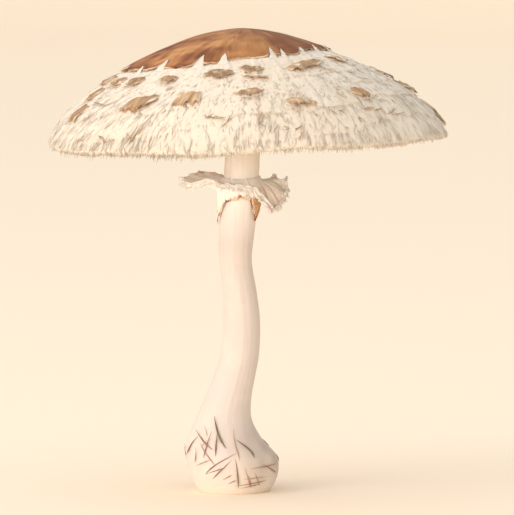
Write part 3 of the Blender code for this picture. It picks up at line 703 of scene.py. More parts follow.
# The ring's torn points: slips of felt that stand up from its far edge, where the veil was pulled longest.
# They are thin, pointed and a little frayed.
# Angle, height above the edge, and half-width in degrees.
RING_POINTS = ((20, 0.9, 9), (44, 1.6, 9), (60, 2.2, 8), (78, 1.6, 6), (140, 1.2, 20), (352, 1.2, 5))
across = np.linspace(-1, 1, 7)[None, :]
rise = np.linspace(0, 1, 8)[:, None]
points = []
for k, (at, tall, half) in enumerate(RING_POINTS):
    turn = math.radians(at) + across * math.radians(half) * (1 - rise) ** 0.9 + 0.04 * rise**2
    reach, edge, _ = ring_edges(turn)
    out = reach - 0.9 + 0.5 * rise + 0.2 * cloud(across * 2, rise * 3, 4.0 * k, 104)
    up = edge - 0.1 + (tall + 0.8) * rise + 0.2 * cloud(across * 3, rise * 2, 6.0 * k, 105)
    axis = on_curve(STEM_STATIONS, RING_HEIGHT + up)
    sheet = [round_axis(axis, out + thin, turn, RING_HEIGHT + up) for thin in (0.0, 0.5)]
    points.append(np.concatenate([sheet[0], sheet[1][:, ::-1]], 1))
point_shape = loft(np.array(points))
each = len(point_shape[0]) // len(RING_POINTS)
pink = np.repeat([0.75 * near_angle(math.radians(at), 140, 20) for at, _, _ in RING_POINTS], each)
marks = {"brown": 0.12 + 0 * pink, "pink": pink}
make_piece("ring_torn_points", point_shape, ring_felt, marks)

# The cap: thick white flesh, spongy and dry, domed, thin at the rim, and set on the stem's tip by a socket.
# As it opened, its surface tore into shaggy layers of felted wool that overlap from the crown to the rim.
CAP_RADIUS = 70.7
CAP_HEIGHT = 37.7
FALL = ((1.17, 2), (-0.57, 4), (0.40, 8))
FLESH_AT_RIM = 2.5
FLESH_MORE_AT_AXIS = 10.5
NEAR_LEFT = math.radians(238)
SOCKET_DEPTH = 3.2
SOCKET_RADIUS = 6.3
CAP_SIDES = 620
CAP_TOP_ROWS = 124
LAYER_MM = 7.5  # from one torn layer to the next
# The top is a little flatter on one side of its middle: where, how far round there, and by how much.
FLAT_PLACE = (20.0, 4.0)
FLAT_REACH = 18.0
FLAT_DEPTH = 1.1
# Where the brown skin of the crown is torn off: angle and radius.
CROWN_RADII = (
    (0, 29.0),
    (20, 30.0),
    (45, 32.2),
    (70, 35.0),
    (95, 38.0),
    (120, 41.0),
    (150, 43.0),
    (176, 43.4),
    (200, 42.0),
    (214, 40.6),
    (224, 38.7),
    (233, 38.2),
    (243, 37.1),
    (254, 35.2),
    (263, 33.1),
    (276, 32.0),
    (292, 31.0),
    (304, 30.6),
    (313, 29.0),
    (324, 27.7),
    (334, 27.8),
    (349, 28.6),
    (360, 29.0),
)
in_cap = Matrix.Translation(Vector(RIM_CENTRE) * MM) @ Matrix.Rotation(math.radians(CAP_LEAN), 4, "Y")


def dome_height(share):
    return CAP_HEIGHT * (1 - sum(factor * share**power for factor, power in FALL))


def dome_slope(share):
    return -CAP_HEIGHT / CAP_RADIUS * sum(factor * power * share ** (power - 1) for factor, power in FALL)


def flattening(share, angle):
    """How much lower the top is than a round dome."""
    out = CAP_RADIUS * share
    off = np.hypot(out * np.cos(angle) - FLAT_PLACE[0], out * np.sin(angle) - FLAT_PLACE[1])
    return FLAT_DEPTH * np.exp(-((off / FLAT_REACH) ** 2))


def cap_point(share, angle, lift=0.0, sink=0.0):
    """Points on the dome in its own frame. Lift is out along its normal, and sink is straight down."""
    slope = dome_slope(share)
    lean = 1 / np.hypot(1, slope)
    lobing = 0.006 * np.cos(2 * angle) + 0.006 * np.cos(5 * angle + 1.1)
    drop = 1.5 * np.cos(angle - NEAR_LEFT) + 0.6 * np.cos(3 * angle + 0.8) + 0.35 * np.cos(7 * angle)
    out = CAP_RADIUS * share * (1 + lobing * share**2) - lift * slope * lean
    height = dome_height(share) - drop * share**6 - flattening(share, angle) + lift * lean - sink
    return np.stack([out * np.cos(angle), out * np.sin(angle), height + 0 * out], -1)


def cap_outward(share, angle):
    """The way that the dome faces."""
    slope = dome_slope(share) + 0 * angle
    return np.stack([-slope * np.cos(angle), -slope * np.sin(angle), 1 + 0 * slope], -1)


def under_point(share, angle, below=0.0):
    depth = FLESH_AT_RIM + FLESH_MORE_AT_AXIS * np.clip(1 - share, 0, 1) ** 1.5
    return cap_point(share, angle, sink=depth + below - flattening(share, angle))


def crown_edge(angle):
    """The radius at which the whole skin of the crown is torn off, before its notches."""
    return on_curve(CROWN_RADII, np.degrees(angle) % 360)[..., 0]


def torn_layers(share, angle):
    """How high the wool stands at each place, and how near that is to the torn end of its layer."""
    out = share * CAP_RADIUS
    start = crown_edge(angle)
    jagged = 1.7 * streaks(angle, out / 22, 13, 51) + 1.3 * streaks(angle, out / 9, 38, 52)
    jagged = jagged + 0.7 * streaks(angle, out / 5, 100, 53)
    phase = (out - start + jagged) / LAYER_MM
    along = phase - np.floor(phase)
    layer = np.floor(phase)
    rise = 0.2 + 0.35 * (1 + streaks(angle, 7.3 * layer, 22, 54)) * 0.55
    past_crown = np.clip((out - start + 1.0) / 2.5, 0, 1)
    rim = np.clip((1.0 - share) / 0.05, 0, 1)
    return past_crown * (0.25 + rise * along**1.3 * (0.35 + 0.65 * rim)), along * past_crown


# Torn mushroom flesh: a felt of fine dry hyphae, cream to white, without gloss, soft at its edges in light.
# It is warmer and a little browner where it is drawn out thin, and pale down in the tears.
WOOL_MM = 0.55
BROAD_MM = 22
woolly_flesh, tree, place, tip_mark, stroke_mark, brown_mark, rim_shade_mark = new_material(
    "woolly_dry_flesh", "tip", "stroke", "brown", "painted_rim_shade"
)
wool = add_node(
    tree,
    "ShaderNodeTexNoise",
    {"Vector": place, "Scale": 1 / (WOOL_MM * MM), "Detail": 5.0, "Roughness": 0.68},
)
patches = add_node(tree, "ShaderNodeTexNoise", {"Vector": place, "Scale": 1 / (BROAD_MM * MM), "Detail": 3.0})
strand_tint = add_node(
    tree,
    "ShaderNodeValToRGB",
    {"Fac": stroke_mark},
    stops=((0.0, "#E3D6C2"), (1.0, "#CBB698"), (0.5, "#E1D3BE"), (0.8, "#DCCCB5"), (0.93, "#D5C3AA")),
)
patch_tone = add_node(
    tree,
    "ShaderNodeMapRange",
    {"Value": patches.outputs["Fac"], "From Min": 0.48, "From Max": 0.68, "To Min": 0.0, "To Max": 0.45},
)
wool_tone = add_node(
    tree,
    "ShaderNodeMapRange",
    {"Value": wool.outputs["Fac"], "From Min": 0.38, "From Max": 0.62, "To Min": 0.22, "To Max": 0.0},
)
tip_tone = add_node(tree, "ShaderNodeMath", {0: tip_mark, 1: 0.26}, operation="MULTIPLY")
finish_material(
    woolly_flesh,
    strand_tint.outputs["Color"],
    (
        (patch_tone.outputs["Result"], "#DECCB2"),
        (wool_tone.outputs["Result"], "#CFBA9A"),
        (tip_tone.outputs["Value"], "#C7A67C"),
        (brown_mark, "#A9784F"),
        # Painted shade: grey-beige along the lower edge of the rim on the near left.
        (rim_shade_mark, "#B8A88F"),
    ),
    wool.outputs["Fac"],
    0.5,
    0.3,
    {
        "Roughness": 0.92,
        "IOR": 1.35,
        "Sheen Weight": 0.25,
        "Sheen Roughness": 0.5,
        "Subsurface Weight": 0.4,
        "Subsurface Radius": (1.0, 0.88, 0.76),
        "Subsurface Scale": 2.0 * MM,
    },
)

angle = np.linspace(0, math.tau, CAP_SIDES, endpoint=False)[None, :]
share = np.concatenate([[0.002, 0.1, 0.2, 0.28, 0.34], np.linspace(0.38, 1.0, CAP_TOP_ROWS - 5)])[:, None]
stand, along = torn_layers(share, angle)
fibres = 0.16 * streaks(angle, share * 5, 260, 55) + 0.10 * streaks(angle, share * 9, 420, 56)
fibres = fibres + 0.12 * cloud(share * 40, np.cos(angle) * 60 * share, np.sin(angle) * 60 * share, 57)
bare = np.clip((share * CAP_RADIUS - crown_edge(angle) + 1.0) / 2.5, 0, 1)
top = cap_point(share, angle, lift=stand + fibres * bare)
ragged = 0.5 * streaks(angle, 0.0, 70, 58) + 0.35 * streaks(angle, 0.0, 190, 59)
# Share of the radius, lift and sink of each row round the lip.
LIP_ROWS = ((1.004, -0.2, 0.5), (1.0, -0.5, 1.3), (0.99, -0.7, 2.0), (0.975, -1.0, 2.4), (0.966, -1.2, 2.3))
lip = []
for lip_share, lift, sink in LIP_ROWS:
    sink = sink + ragged[0] * min(1, sink / 1.5)
    lip.append(cap_point(lip_share + 0 * angle[0], angle[0], lift=lift, sink=sink))
under_shares = np.linspace(0.955, 0.12, 14)
under = [under_point(at + 0 * angle[0], angle[0]) for at in under_shares]
floor = float(under_point(np.array(0.14), np.array(0.0))[2])
socket = []
socket_radii = (SOCKET_RADIUS + 0.5, SOCKET_RADIUS, SOCKET_RADIUS, 0.1)
socket_heights = (floor, floor + 0.4, floor + SOCKET_DEPTH, floor + SOCKET_DEPTH)
for radius, height in zip(socket_radii, socket_heights):
    socket.append(np.stack([radius * np.cos(angle[0]), radius * np.sin(angle[0]), height + 0 * angle[0]], -1))
cap_points = np.concatenate([top, np.array(lip), np.array(under), np.array(socket)])
plain = np.zeros(cap_points.shape[:2])
tip = plain.copy()
tip[: len(top)] = np.clip((along - 0.6) / 0.4, 0, 1) * 0.25
stroke = plain + 0.25
stroke[: len(top)] = np.clip(0.3 + 0.45 * streaks(angle, share * 6, 150, 60), 0, 0.9)
# The rim carries painted shade on the near left, along its lower edge: the angle and half-width of that side.
SHADED_RIM_SIDE = (222, 40)
rim_shade_at = near_angle(angle[0], *SHADED_RIM_SIDE)
painted_rim_shade = plain.copy()
painted_rim_shade[: len(top)] = 0.3 * rim_shade_at * np.clip((share * CAP_RADIUS - CAP_RADIUS + 4) / 3, 0, 1)
painted_rim_shade[len(top) : len(top) + len(lip)] = 0.8 * rim_shade_at
flesh_piece = make_piece(
    "cap_flesh",
    net(cap_points),
    woolly_flesh,
    {"tip": tip, "stroke": stroke, "brown": plain, "painted_rim_shade": painted_rim_shade},
    within=in_cap,
)
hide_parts("cap")

# The wool: the torn fibres of the same flesh, in thin flat locks that lie outward and curl up at their tips.
# They grow out of the flesh in no order, and the wind and rain have leant them together.
WOOL_LOCKS = 7000
LOCK_STATIONS = 5
LOCK_SIDES = 3
LOCK_POINTS = LOCK_STATIONS * LOCK_SIDES
LOCK_FLATNESS = 0.45
draw = np.random.default_rng(61)


def locks(root_out, angle, length, half_width, tip_lift, draw, droop=0.0, bed=-0.45, flare=0.45):
    """Locks that start at this way out and angle: their shape, and how far along them each point is."""
    t = np.linspace(0, 1, LOCK_STATIONS)[None, :]
    lean = 0.5 * streaks(angle, root_out / 30, 9, 62) + draw.normal(0, 0.13, angle.shape)
    curl = draw.normal(0, 0.2, angle.shape)
    side = length[:, None] * (np.sin(lean)[:, None] * t + curl[:, None] * t**3)
    forward = length[:, None] * np.cos(lean)[:, None] * t
    out = root_out[:, None] + forward
    share = np.minimum(out / CAP_RADIUS, 1.0)
    turn = angle[:, None] + side / np.maximum(out, 1)
    stand, _ = torn_layers(share, turn)
    lift = stand + bed + (tip_lift[:, None] - bed) * t**1.5
    past = np.maximum(out - CAP_RADIUS, 0)
    paths = cap_point(share, turn, lift=lift + flare * past, sink=0.9 * past + droop * t**2)
    radii = half_width[:, None] * np.array([[0.7, 1.0, 0.9, 0.6, 0.12]])
    shape = tubes(paths, radii, LOCK_SIDES, cap_outward(share, turn), LOCK_FLATNESS)
    return shape, np.repeat(t + 0 * radii, LOCK_SIDES)


way_out = draw.uniform(0, 1, WOOL_LOCKS) ** 0.7
around = draw.uniform(0, math.tau, WOOL_LOCKS)
start = crown_edge(around) - 1.4
root_out = start + way_out * (CAP_RADIUS - 3.5 - start)
length = draw.uniform(0.75, 1.5, WOOL_LOCKS) * (2.8 + 3.2 * way_out)
length = np.minimum(length, CAP_RADIUS + 0.6 - root_out)
half_width = draw.uniform(0.22, 0.58, WOOL_LOCKS)
tip_lift = (np.abs(draw.normal(0.15, 0.35, WOOL_LOCKS)) + 0.05) * (0.3 + 0.25 * way_out)
shape, t = locks(root_out, around, length, half_width, tip_lift, draw)
# Painted shade on the locks that reach the rim on the near left.
rim_shaded = 0.5 * near_angle(around, *SHADED_RIM_SIDE) * np.clip((root_out + length - CAP_RADIUS + 4) / 4, 0, 1)
rim_shaded = np.repeat(rim_shaded * draw.uniform(0.4, 1.2, WOOL_LOCKS), LOCK_POINTS)
stroke = np.repeat(draw.uniform(0, 1, WOOL_LOCKS) ** 1.4, LOCK_POINTS)
dirty = (draw.uniform(0, 1, WOOL_LOCKS) > 0.975) * 0.35
weathered = near_angle(around, 345, 34) * np.clip(1.25 - 1.5 * way_out, 0, 1)
weathered = weathered * draw.choice([0.1, 0.3, 0.7], WOOL_LOCKS)
browned_by = np.repeat(np.maximum(dirty, weathered), LOCK_POINTS)
marks = {"tip": t**2 * 0.7, "stroke": stroke, "brown": browned_by * (0.35 + 0.65 * t), "painted_rim_shade": rim_shaded}
make_piece("cap_wool", shape, woolly_flesh, marks, within=in_cap)

# The fringe: the wool that hangs over the rim, in ragged teeth of many fibres.
# It is what was left when the cap's rim tore free of the veil.
FRINGE_LOCKS = 2600
around = draw.uniform(0, math.tau, FRINGE_LOCKS)
root_out = CAP_RADIUS * draw.uniform(0.955, 0.998, FRINGE_LOCKS)
tooth = 0.5 + 0.5 * streaks(around, 0.0, 44, 63)
worn_off = near_angle(around, 350, 40) + near_angle(around, 182, 16)
length = draw.uniform(1.2, 2.8, FRINGE_LOCKS) * (0.55 + 0.75 * tooth) * (1 - 0.55 * worn_off)
half_width = draw.uniform(0.2, 0.5, FRINGE_LOCKS)
tip_lift = draw.uniform(-0.4, 0.7, FRINGE_LOCKS)
shape, t = locks(root_out, around, length, half_width, tip_lift, draw, droop=1.5, flare=0.12)
stroke = np.repeat(draw.uniform(0, 1, FRINGE_LOCKS), LOCK_POINTS)
browned_by = np.repeat(draw.choice([0.03, 0.08, 0.2], FRINGE_LOCKS), LOCK_POINTS) * (0.3 + 0.7 * t)
# Painted shade on the fringe on the near left.
rim_shaded = 0.8 * near_angle(around, *SHADED_RIM_SIDE) * draw.uniform(0.5, 1.2, FRINGE_LOCKS)
rim_shaded = np.repeat(rim_shaded, LOCK_POINTS)
marks = {"tip": t * 0.4, "stroke": stroke, "brown": browned_by, "painted_rim_shade": np.clip(rim_shaded, 0, 1)}
make_piece("rim_fringe", shape, woolly_flesh, marks, within=in_cap)

# The brown flakes: scraps of the old skin that the opening cap tore apart and carried outward on the flesh.
# Each is thin, dry and fibrous, hinged on its upper side, with a frayed lower edge that curls up.
# Angle, how far out from the cap's middle each begins and ends, and its width.
SEEN_FLAKES = (
    (187, 46.2, 50.8, 7.0),
    (203, 46.7, 50.6, 6.8),
    (216, 45.4, 50.2, 7.4),
    (234, 44.3, 48.0, 8.4),
    (257.5, 40.2, 45.4, 11.0),
    (273, 38.6, 42.0, 8.6),
    (274, 43.3, 46.4, 9.0),
    (302.5, 36.6, 42.8, 16.5),
    (332, 34.2, 39.0, 9.5),
    (196, 52.3, 58.8, 6.2),
    (229.5, 54.6, 60.8, 14.2),
    (248.3, 52.7, 58.8, 10.0),
    (271, 51.6, 55.0, 10.6),
    (289, 56.6, 60.4, 11.0),
    (316, 53.4, 58.4, 7.2),
    (199, 59.4, 65.4, 7.4),
)
# How pale each of them is, from 0 to 1, how much of it is worn through to the cream flesh, its tilt,
# which is how much further out its left end is than its middle, and how blunt its ends are.
SEEN_TONES = (
    (0.3, 0.0, 0.1, 0.6),
    (0.25, 0.0, -0.2, 0.7),
    (0.2, 0.0, -0.2, 0.7),
    (0.25, 0.0, 0.0, 0.6),
    (0.05, 0.0, 0.4, 0.3),
    (0.2, 0.0, -0.7, 0.2),
    (0.9, 0.3, -1.0, 0.2),
    (0.3, 0.0, 2.0, 0.3),
    (0.75, 0.6, -1.5, 0.0),
    (0.25, 0.1, 0.0, 0.4),
    (0.25, 0.0, 1.4, 0.5),
    (0.6, 0.0, 0.3, 0.9),
    (0.25, 0.0, 0.4, 0.0),
    (0.6, 0.0, -0.4, 0.2),
    (0.35, 0.0, -0.2, 0.2),
    (0.2, 0.0, 0.0, 0.4),
)
HIDDEN_FLAKE_RINGS = ((47.5, 8), (56.5, 9), (65.0, 10))
FLAKE_COLUMNS = 22
FLAKE_ROWS = 12
FLAKE_THICKNESS = 0.45
FLAKE_FIBRES = 22

# Dry brown skin with the flesh's fibres under it: matt, streaked down its length, paler where worn through.
flake_skin, tree, place, shade_mark, cream_mark, streak_mark = new_material(
    "dry_brown_flake", "shade", "cream", "streak"
)
FLAKE_FIBRE_MM = 0.5
grain = add_node(
    tree,
    "ShaderNodeTexNoise",
    {"Vector": place, "Scale": 1 / (FLAKE_FIBRE_MM * MM), "Detail": 5.0, "Roughness": 0.65},
)
flake_tint = add_node(
    tree,
    "ShaderNodeValToRGB",
    {"Fac": shade_mark},
    stops=((0.0, "#86643F"), (1.0, "#DDC19B"), (0.4, "#AC8458"), (0.7, "#C8A57A")),
)
grain_tone = add_node(
    tree,
    "ShaderNodeMapRange",
    {"Value": grain.outputs["Fac"], "From Min": 0.5, "From Max": 0.7, "To Min": 0.0, "To Max": 0.5},
)
layers = ((streak_mark, "#7D4E2E"), (grain_tone.outputs["Result"], "#DDBE97"), (cream_mark, "#EED9BB"))
constants = {"Roughness": 0.85, "Sheen Weight": 0.1}
finish_material(
    flake_skin, flake_tint.outputs["Color"], layers, grain.outputs["Fac"], 0.7, 0.25, constants
)

# The same draws as for the solids, so that the far side's flakes lie where theirs do.
same_draw = random.Random(10)
flakes = list(SEEN_FLAKES)
for middle, count in HIDDEN_FLAKE_RINGS:
    for i in range(count):
        degrees = -5 + 180 * (i + 0.5 + same_draw.uniform(-0.25, 0.25)) / count
        size = same_draw.uniform(5.5, 7.5)
        root = middle - size / 2 + same_draw.uniform(-2.0, 2.0)
        flakes.append((degrees, root, root + size, same_draw.uniform(7.0, 12.5)))

draw = np.random.default_rng(71)
sheets = []
sheet_shades = []
sheet_streaks = []
sheet_creams = []
fibre_roots = []
across = np.linspace(-1, 1, FLAKE_COLUMNS)[None, :]
t = np.linspace(0, 1, FLAKE_ROWS)[:, None]
for k, (degrees, root, tip, width) in enumerate(flakes):
    middle = math.radians(degrees)
    if k < len(SEEN_TONES):
        mean_tone, worn, tilt, blunt = SEEN_TONES[k]
    else:
        mean_tone, worn, tilt, blunt = draw.uniform(0.2, 0.7), draw.uniform(0, 0.3), draw.uniform(-1, 1), 0.3
    depth = tip - root
    low_root = root - tilt * across[0] + 0.6 * cloud(across[0] * 2.2 + 9 * k, 0.0, 0.0, 72)
    low_root = low_root + 0.28 * (1 - blunt) * depth * np.abs(across[0]) ** 2.5
    ragged = 0.2 * depth * cloud(across[0] * 2.6, 5.0 * k, 0.0, 73)
    ragged = ragged + 0.14 * depth * cloud(across[0] * 7, 3.0 * k, 0.0, 74)
    low_tip = tip - tilt * across[0] + ragged - 0.5 * (1 - blunt) * depth * np.abs(across[0]) ** 3.5
    out = low_root + (low_tip - low_root) * t
    half = 0.5 * width * (0.94 + 0.1 * np.sin(3 * t + k))
    turn = middle + across * half / out
    stand, _ = torn_layers(np.minimum(out / CAP_RADIUS, 1.0), turn)
    curl = draw.uniform(0.3, 0.9) * (0.75 + 0.5 * cloud(across * 1.8, 0.0, 7.0 * k, 75))
    lift = stand + 0.8 + curl * t**2.2 + 0.22 * cloud(across * 8, t * 2, 11.0 * k, 76)
    lift = lift - 0.45 * (1 - t) ** 3 - 0.5 * np.abs(across) ** 6
    share = np.minimum(out / CAP_RADIUS, 1.0)
    past = np.maximum(out - CAP_RADIUS, 0)
    thin = FLAKE_THICKNESS * (1 - 0.6 * t)
    upper = cap_point(share, turn, lift=lift + 0.3 * past, sink=0.8 * past)
    lower = cap_point(share, turn, lift=lift - thin + 0.3 * past, sink=0.8 * past)
    sheets.append(np.concatenate([upper, lower[:, ::-1]], 1))
    tone = mean_tone + 0.3 * cloud(across * 5, t * 1.5, 2.0 * k, 77)
    edge = np.clip((t - 0.72) / 0.28, 0, 1) * (0.4 + 0.6 * cloud(across * 6, 0.0, 3.0 * k, 78))
    tone = np.clip(tone, 0, 1)
    sheet_shades.append(np.concatenate([tone, tone[:, ::-1]], 1))
    line = np.clip(0.75 * cloud(across * 13, t * 1.2, 5.0 * k, 79) - 0.12, 0, 0.75)
    edged = np.clip(line + 0.5 * edge, 0, 0.8)
    sheet_streaks.append(np.concatenate([edged, np.clip(line, 0, 0.8)[:, ::-1]], 1))
    patch = np.clip(1.6 * cloud(across * 2.5, t * 2.5, 8.0 * k, 80) - 0.6 + 1.2 * worn, 0, 0.9)
    patch = patch + 0.5 * np.abs(across) ** 8
    sheet_creams.append(np.concatenate([np.clip(patch, 0, 1), 0.75 + 0 * patch], 1))
    fibre_roots.append((middle, width, root, tip))
marks = {"shade": np.array(sheet_shades), "streak": np.array(sheet_streaks), "cream": np.array(sheet_creams)}
make_piece("brown_flakes", loft(np.array(sheets)), flake_skin, marks, within=in_cap)

# The flakes' frayed ends: fibres of skin and flesh that stick out past each torn edge.
middle, width, root, tip = (np.repeat(value, FLAKE_FIBRES) for value in np.array(fibre_roots).T)
count = len(middle)
place = draw.uniform(-0.96, 0.96, count)
root_out = root + (tip - root) * draw.uniform(0.25, 0.95, count)
around = middle + place * 0.5 * width / root_out
length = np.minimum(draw.uniform(1.2, 3.0, count), CAP_RADIUS + 2 - root_out)
half_width = draw.uniform(0.13, 0.32, count)
near_tip = (root_out - root) / (tip - root)
tip_lift = 0.6 + near_tip * draw.uniform(0.0, 0.8, count)
shape, t = locks(root_out, around, length, half_width, tip_lift, draw)
marks = {
    "shade": np.repeat(draw.uniform(0.3, 1, count), LOCK_POINTS),
    "streak": np.repeat(draw.uniform(0, 0.5, count), LOCK_POINTS),
    "cream": np.repeat(draw.choice([0.0, 0.0, 0.2, 0.8], count), LOCK_POINTS) * (0.5 + 0.5 * t),
}
make_piece("flake_fibres", shape, flake_skin, marks, within=in_cap)

# The flecks: thin twists of browned fibres that lie between the flakes, like little ticks and barbs.
# Each is a pinch of the same torn flesh, gone brown in the sun and drawn to a point.
# Where each of them begins and ends in the photograph, in pixels.
SEEN_FLECKS = (
    (205, 119, 207, 113),
    (207, 118.5, 214, 112),
    (209, 117, 216, 119),
    (213, 118, 219, 114),
    (216, 118, 222, 117.5),
    (222, 126, 231, 120),
    (229, 121, 232, 113),
    (258, 121, 260, 112),
    (260, 122, 265, 124.5),
    (261, 113, 267, 122),
    (283, 128, 289, 126),
    (296, 130, 304, 126),
    (274, 132, 275, 127),
    (365, 108.6, 371, 107),
    (368, 108, 372.5, 104.6),
    (375.5, 109.5, 381, 110),
    (377, 110.5, 380.5, 107.5),
    (388, 112, 393, 111.5),
    (391, 112.5, 397.5, 106.5),
    (379.5, 100, 384.5, 97.6),
    (392, 99, 396.5, 103),
    (394, 94, 401, 98.5),
    (378.5, 115.5, 381.5, 119.5),
    (358, 116, 360, 119),
    (98, 137.5, 104, 140),
    (102, 138, 105.5, 144.5),
    (104, 142, 107.5, 139),
    (125, 134, 129, 142.5),
    (128.5, 143, 133, 127),
    (131, 139, 151, 113),
    (136, 134, 152, 120),
    (103, 130, 115, 119),
    (73, 117, 84, 112),
    (83, 119.5, 90, 118),
    (88, 118, 93, 114),
    (93, 102.5, 103, 105.5),
    (103, 105.5, 115, 100),
    (75, 141, 82, 141),
    (79, 140, 89, 132),
    (54, 133, 60, 127),
    (340, 109, 345, 114),
    (331, 108, 334, 112),
    (345, 126, 349, 133),
    (337, 93, 345, 96),
    (322, 67, 330, 69),
    (328, 70, 337, 71),
    (362, 78, 370, 80),
    (165, 90, 178, 86),
    (166, 90.5, 172, 88),
    (300, 139, 304, 131),
    (316, 113, 319, 119),
    (326, 118, 330, 124),
)
HIDDEN_FLECKS = 60
FLECK_STRANDS = 3
FLECK_STATIONS = 6
FLECK_SIDES = 4

# Fibres gone grey-brown in the sun and rain, matt and a little uneven along their length.
browned_fibre, tree, place, age_mark = new_material("sun_browned_fibre", "age")
FIBRE_GRAIN_MM = 0.6
scale = 1 / (FIBRE_GRAIN_MM * MM)
grain = add_node(tree, "ShaderNodeTexNoise", {"Vector": place, "Scale": scale, "Detail": 4.0})
fibre_colour = add_node(
    tree,
    "ShaderNodeValToRGB",
    {"Fac": age_mark},
    stops=((0.0, "#C2A684"), (1.0, "#75604B"), (0.5, "#9A8063")),
)
finish_material(
    browned_fibre, fibre_colour.outputs["Color"], (), grain.outputs["Fac"], 0.5, 0.15, {"Roughness": 0.9}
)

dome_grid = (np.linspace(0.3, 1, 281), np.radians(np.linspace(180, 360, 361)))
dome_share, dome_angle = np.meshgrid(*dome_grid, indexing="ij")
dome_points = cap_point(dome_share, dome_angle, lift=1.0) @ np.array(in_cap.to_3x3()).T + RIM_CENTRE
ends = []
for x0, y0, x1, y1 in SEEN_FLECKS:
    first, last = shown_at(dome_points, x0, y0), shown_at(dome_points, x1, y1)
    ends.append((dome_share[first], dome_angle[first], dome_share[last], dome_angle[last]))
for _ in range(HIDDEN_FLECKS):
    at = draw.uniform(0.62, 0.96)
    where = math.radians(draw.uniform(2, 178))
    long = draw.uniform(1.5, 4.5) / CAP_RADIUS
    lean = draw.uniform(-1.3, 1.3)
    ends.append((at, where, min(at + long * math.cos(lean), 1.0), where + long * math.sin(lean) / at))
age = np.repeat(draw.uniform(0.05, 0.65, len(ends)), FLECK_STRANDS)
ends = np.repeat(np.array(ends), FLECK_STRANDS, 0)
count = len(ends)
ends = ends + draw.normal(0, 1, (count, 4)) * (0.004, 0.006, 0.009, 0.014)
t = np.linspace(0, 1, FLECK_STATIONS)[None, :]
share = ends[:, 0, None] * (1 - t) + ends[:, 2, None] * t
bow = draw.uniform(-0.2, 0.2, (count, 1)) * np.sin(math.pi * t)
turn = ends[:, 1, None] * (1 - t) + ends[:, 3, None] * t + bow * (ends[:, 3] - ends[:, 1])[:, None]
share = np.minimum(share + bow * (ends[:, 2] - ends[:, 0])[:, None], 1.0)
stand, _ = torn_layers(share, turn)
lift = stand + 0.35 + draw.uniform(0.1, 0.7, (count, 1)) * t**2
paths = cap_point(share, turn, lift=lift)
thick = draw.uniform(0.07, 0.16, (count, 1)) * np.array([[0.75, 1.0, 0.9, 0.7, 0.45, 0.12]])
age = np.repeat(age, FLECK_STATIONS * FLECK_SIDES)
shape = tubes(paths, thick, FLECK_SIDES, cap_outward(share, turn), 0.6)
make_piece("brown_flecks", shape, browned_fibre, {"age": age}, within=in_cap)

# The crown: the one patch of the old brown skin that stays whole, like thin dry leather, glued to the flesh.
# Its fibres run from the middle outward, and its edge is torn into tabs where the flesh below it spread.
CROWN_SIDES = 540
CROWN_ROWS = 54
CROWN_LIFT = 0.4
CROWN_THICKNESS = 0.9
# Angle, depth and half-width in degrees of each notch.
CROWN_NOTCHES = (
    (10, 2.0, 2.2),
    (30, 3.8, 2.8),
    (48, 2.2, 2.0),
    (66, 4.4, 3.2),
    (85, 2.4, 2.0),
    (103, 4.0, 2.8),
    (124, 2.6, 2.4),
    (142, 4.2, 3.0),
    (162, 2.6, 2.2),
    (192, 2.2, 2.4),
    (208, 1.8, 1.8),
    (221, 4.2, 2.8),
    (243.5, 5.2, 3.0),
    (257, 4.2, 2.6),
    (287.5, 4.4, 2.4),
    (295, 2.8, 1.8),
    (312, 1.8, 2.4),
    (331, 1.8, 2.2),
    (351, 2.6, 2.4),
)

# Dry brown cuticle: a thin tight skin of fibres laid outward, satin where smooth, streaked light and dark.
# It is golden on its near side and darker at its middle, and the right front, the side away from the light,
# carries painted shade.
crown_cuticle, tree, place, streak_mark, gold_mark, umbo_and_shade_mark, cream_mark = new_material(
    "brown_cuticle", "streak", "gold", "umbo_and_side_shade", "cream"
)
SKIN_GRAIN_MM = 0.45
grain = add_node(
    tree,
    "ShaderNodeTexNoise",
    {"Vector": place, "Scale": 1 / (SKIN_GRAIN_MM * MM), "Detail": 5.0, "Roughness": 0.6},
)
skin_tint = add_node(
    tree,
    "ShaderNodeValToRGB",
    {"Fac": streak_mark},
    stops=((0.0, "#68391F"), (1.0, "#C8925C"), (0.3, "#87522E"), (0.5, "#9E663D"), (0.75, "#B27A4B")),
)
grain_tone = add_node(
    tree,
    "ShaderNodeMapRange",
    {"Value": grain.outputs["Fac"], "From Min": 0.4, "From Max": 0.65, "To Min": 0.2, "To Max": 0.0},
)
layers = (
    (gold_mark, "#C08850"),
    # Deep brown: the crown's own colour at its middle, and painted shade on its right front.
    (umbo_and_shade_mark, "#7A4B2C"),
    (grain_tone.outputs["Result"], "#6B4026"),
    (cream_mark, "#EBD4B4"),
)
constants = {"Roughness": 0.68, "IOR": 1.4, "Specular IOR Level": 0.3}
finish_material(
    crown_cuticle, skin_tint.outputs["Color"], layers, grain.outputs["Fac"], 0.5, 0.18, constants
)


def notch_depth(angle):
    """How far the notches cut into the crown's edge at each angle."""
    at, depth, half = np.array(CROWN_NOTCHES).T
    off = np.abs(degrees_off(angle[:, None], at)) / half
    return (depth * np.clip(1 - off, 0, 1) ** 0.8).sum(1)


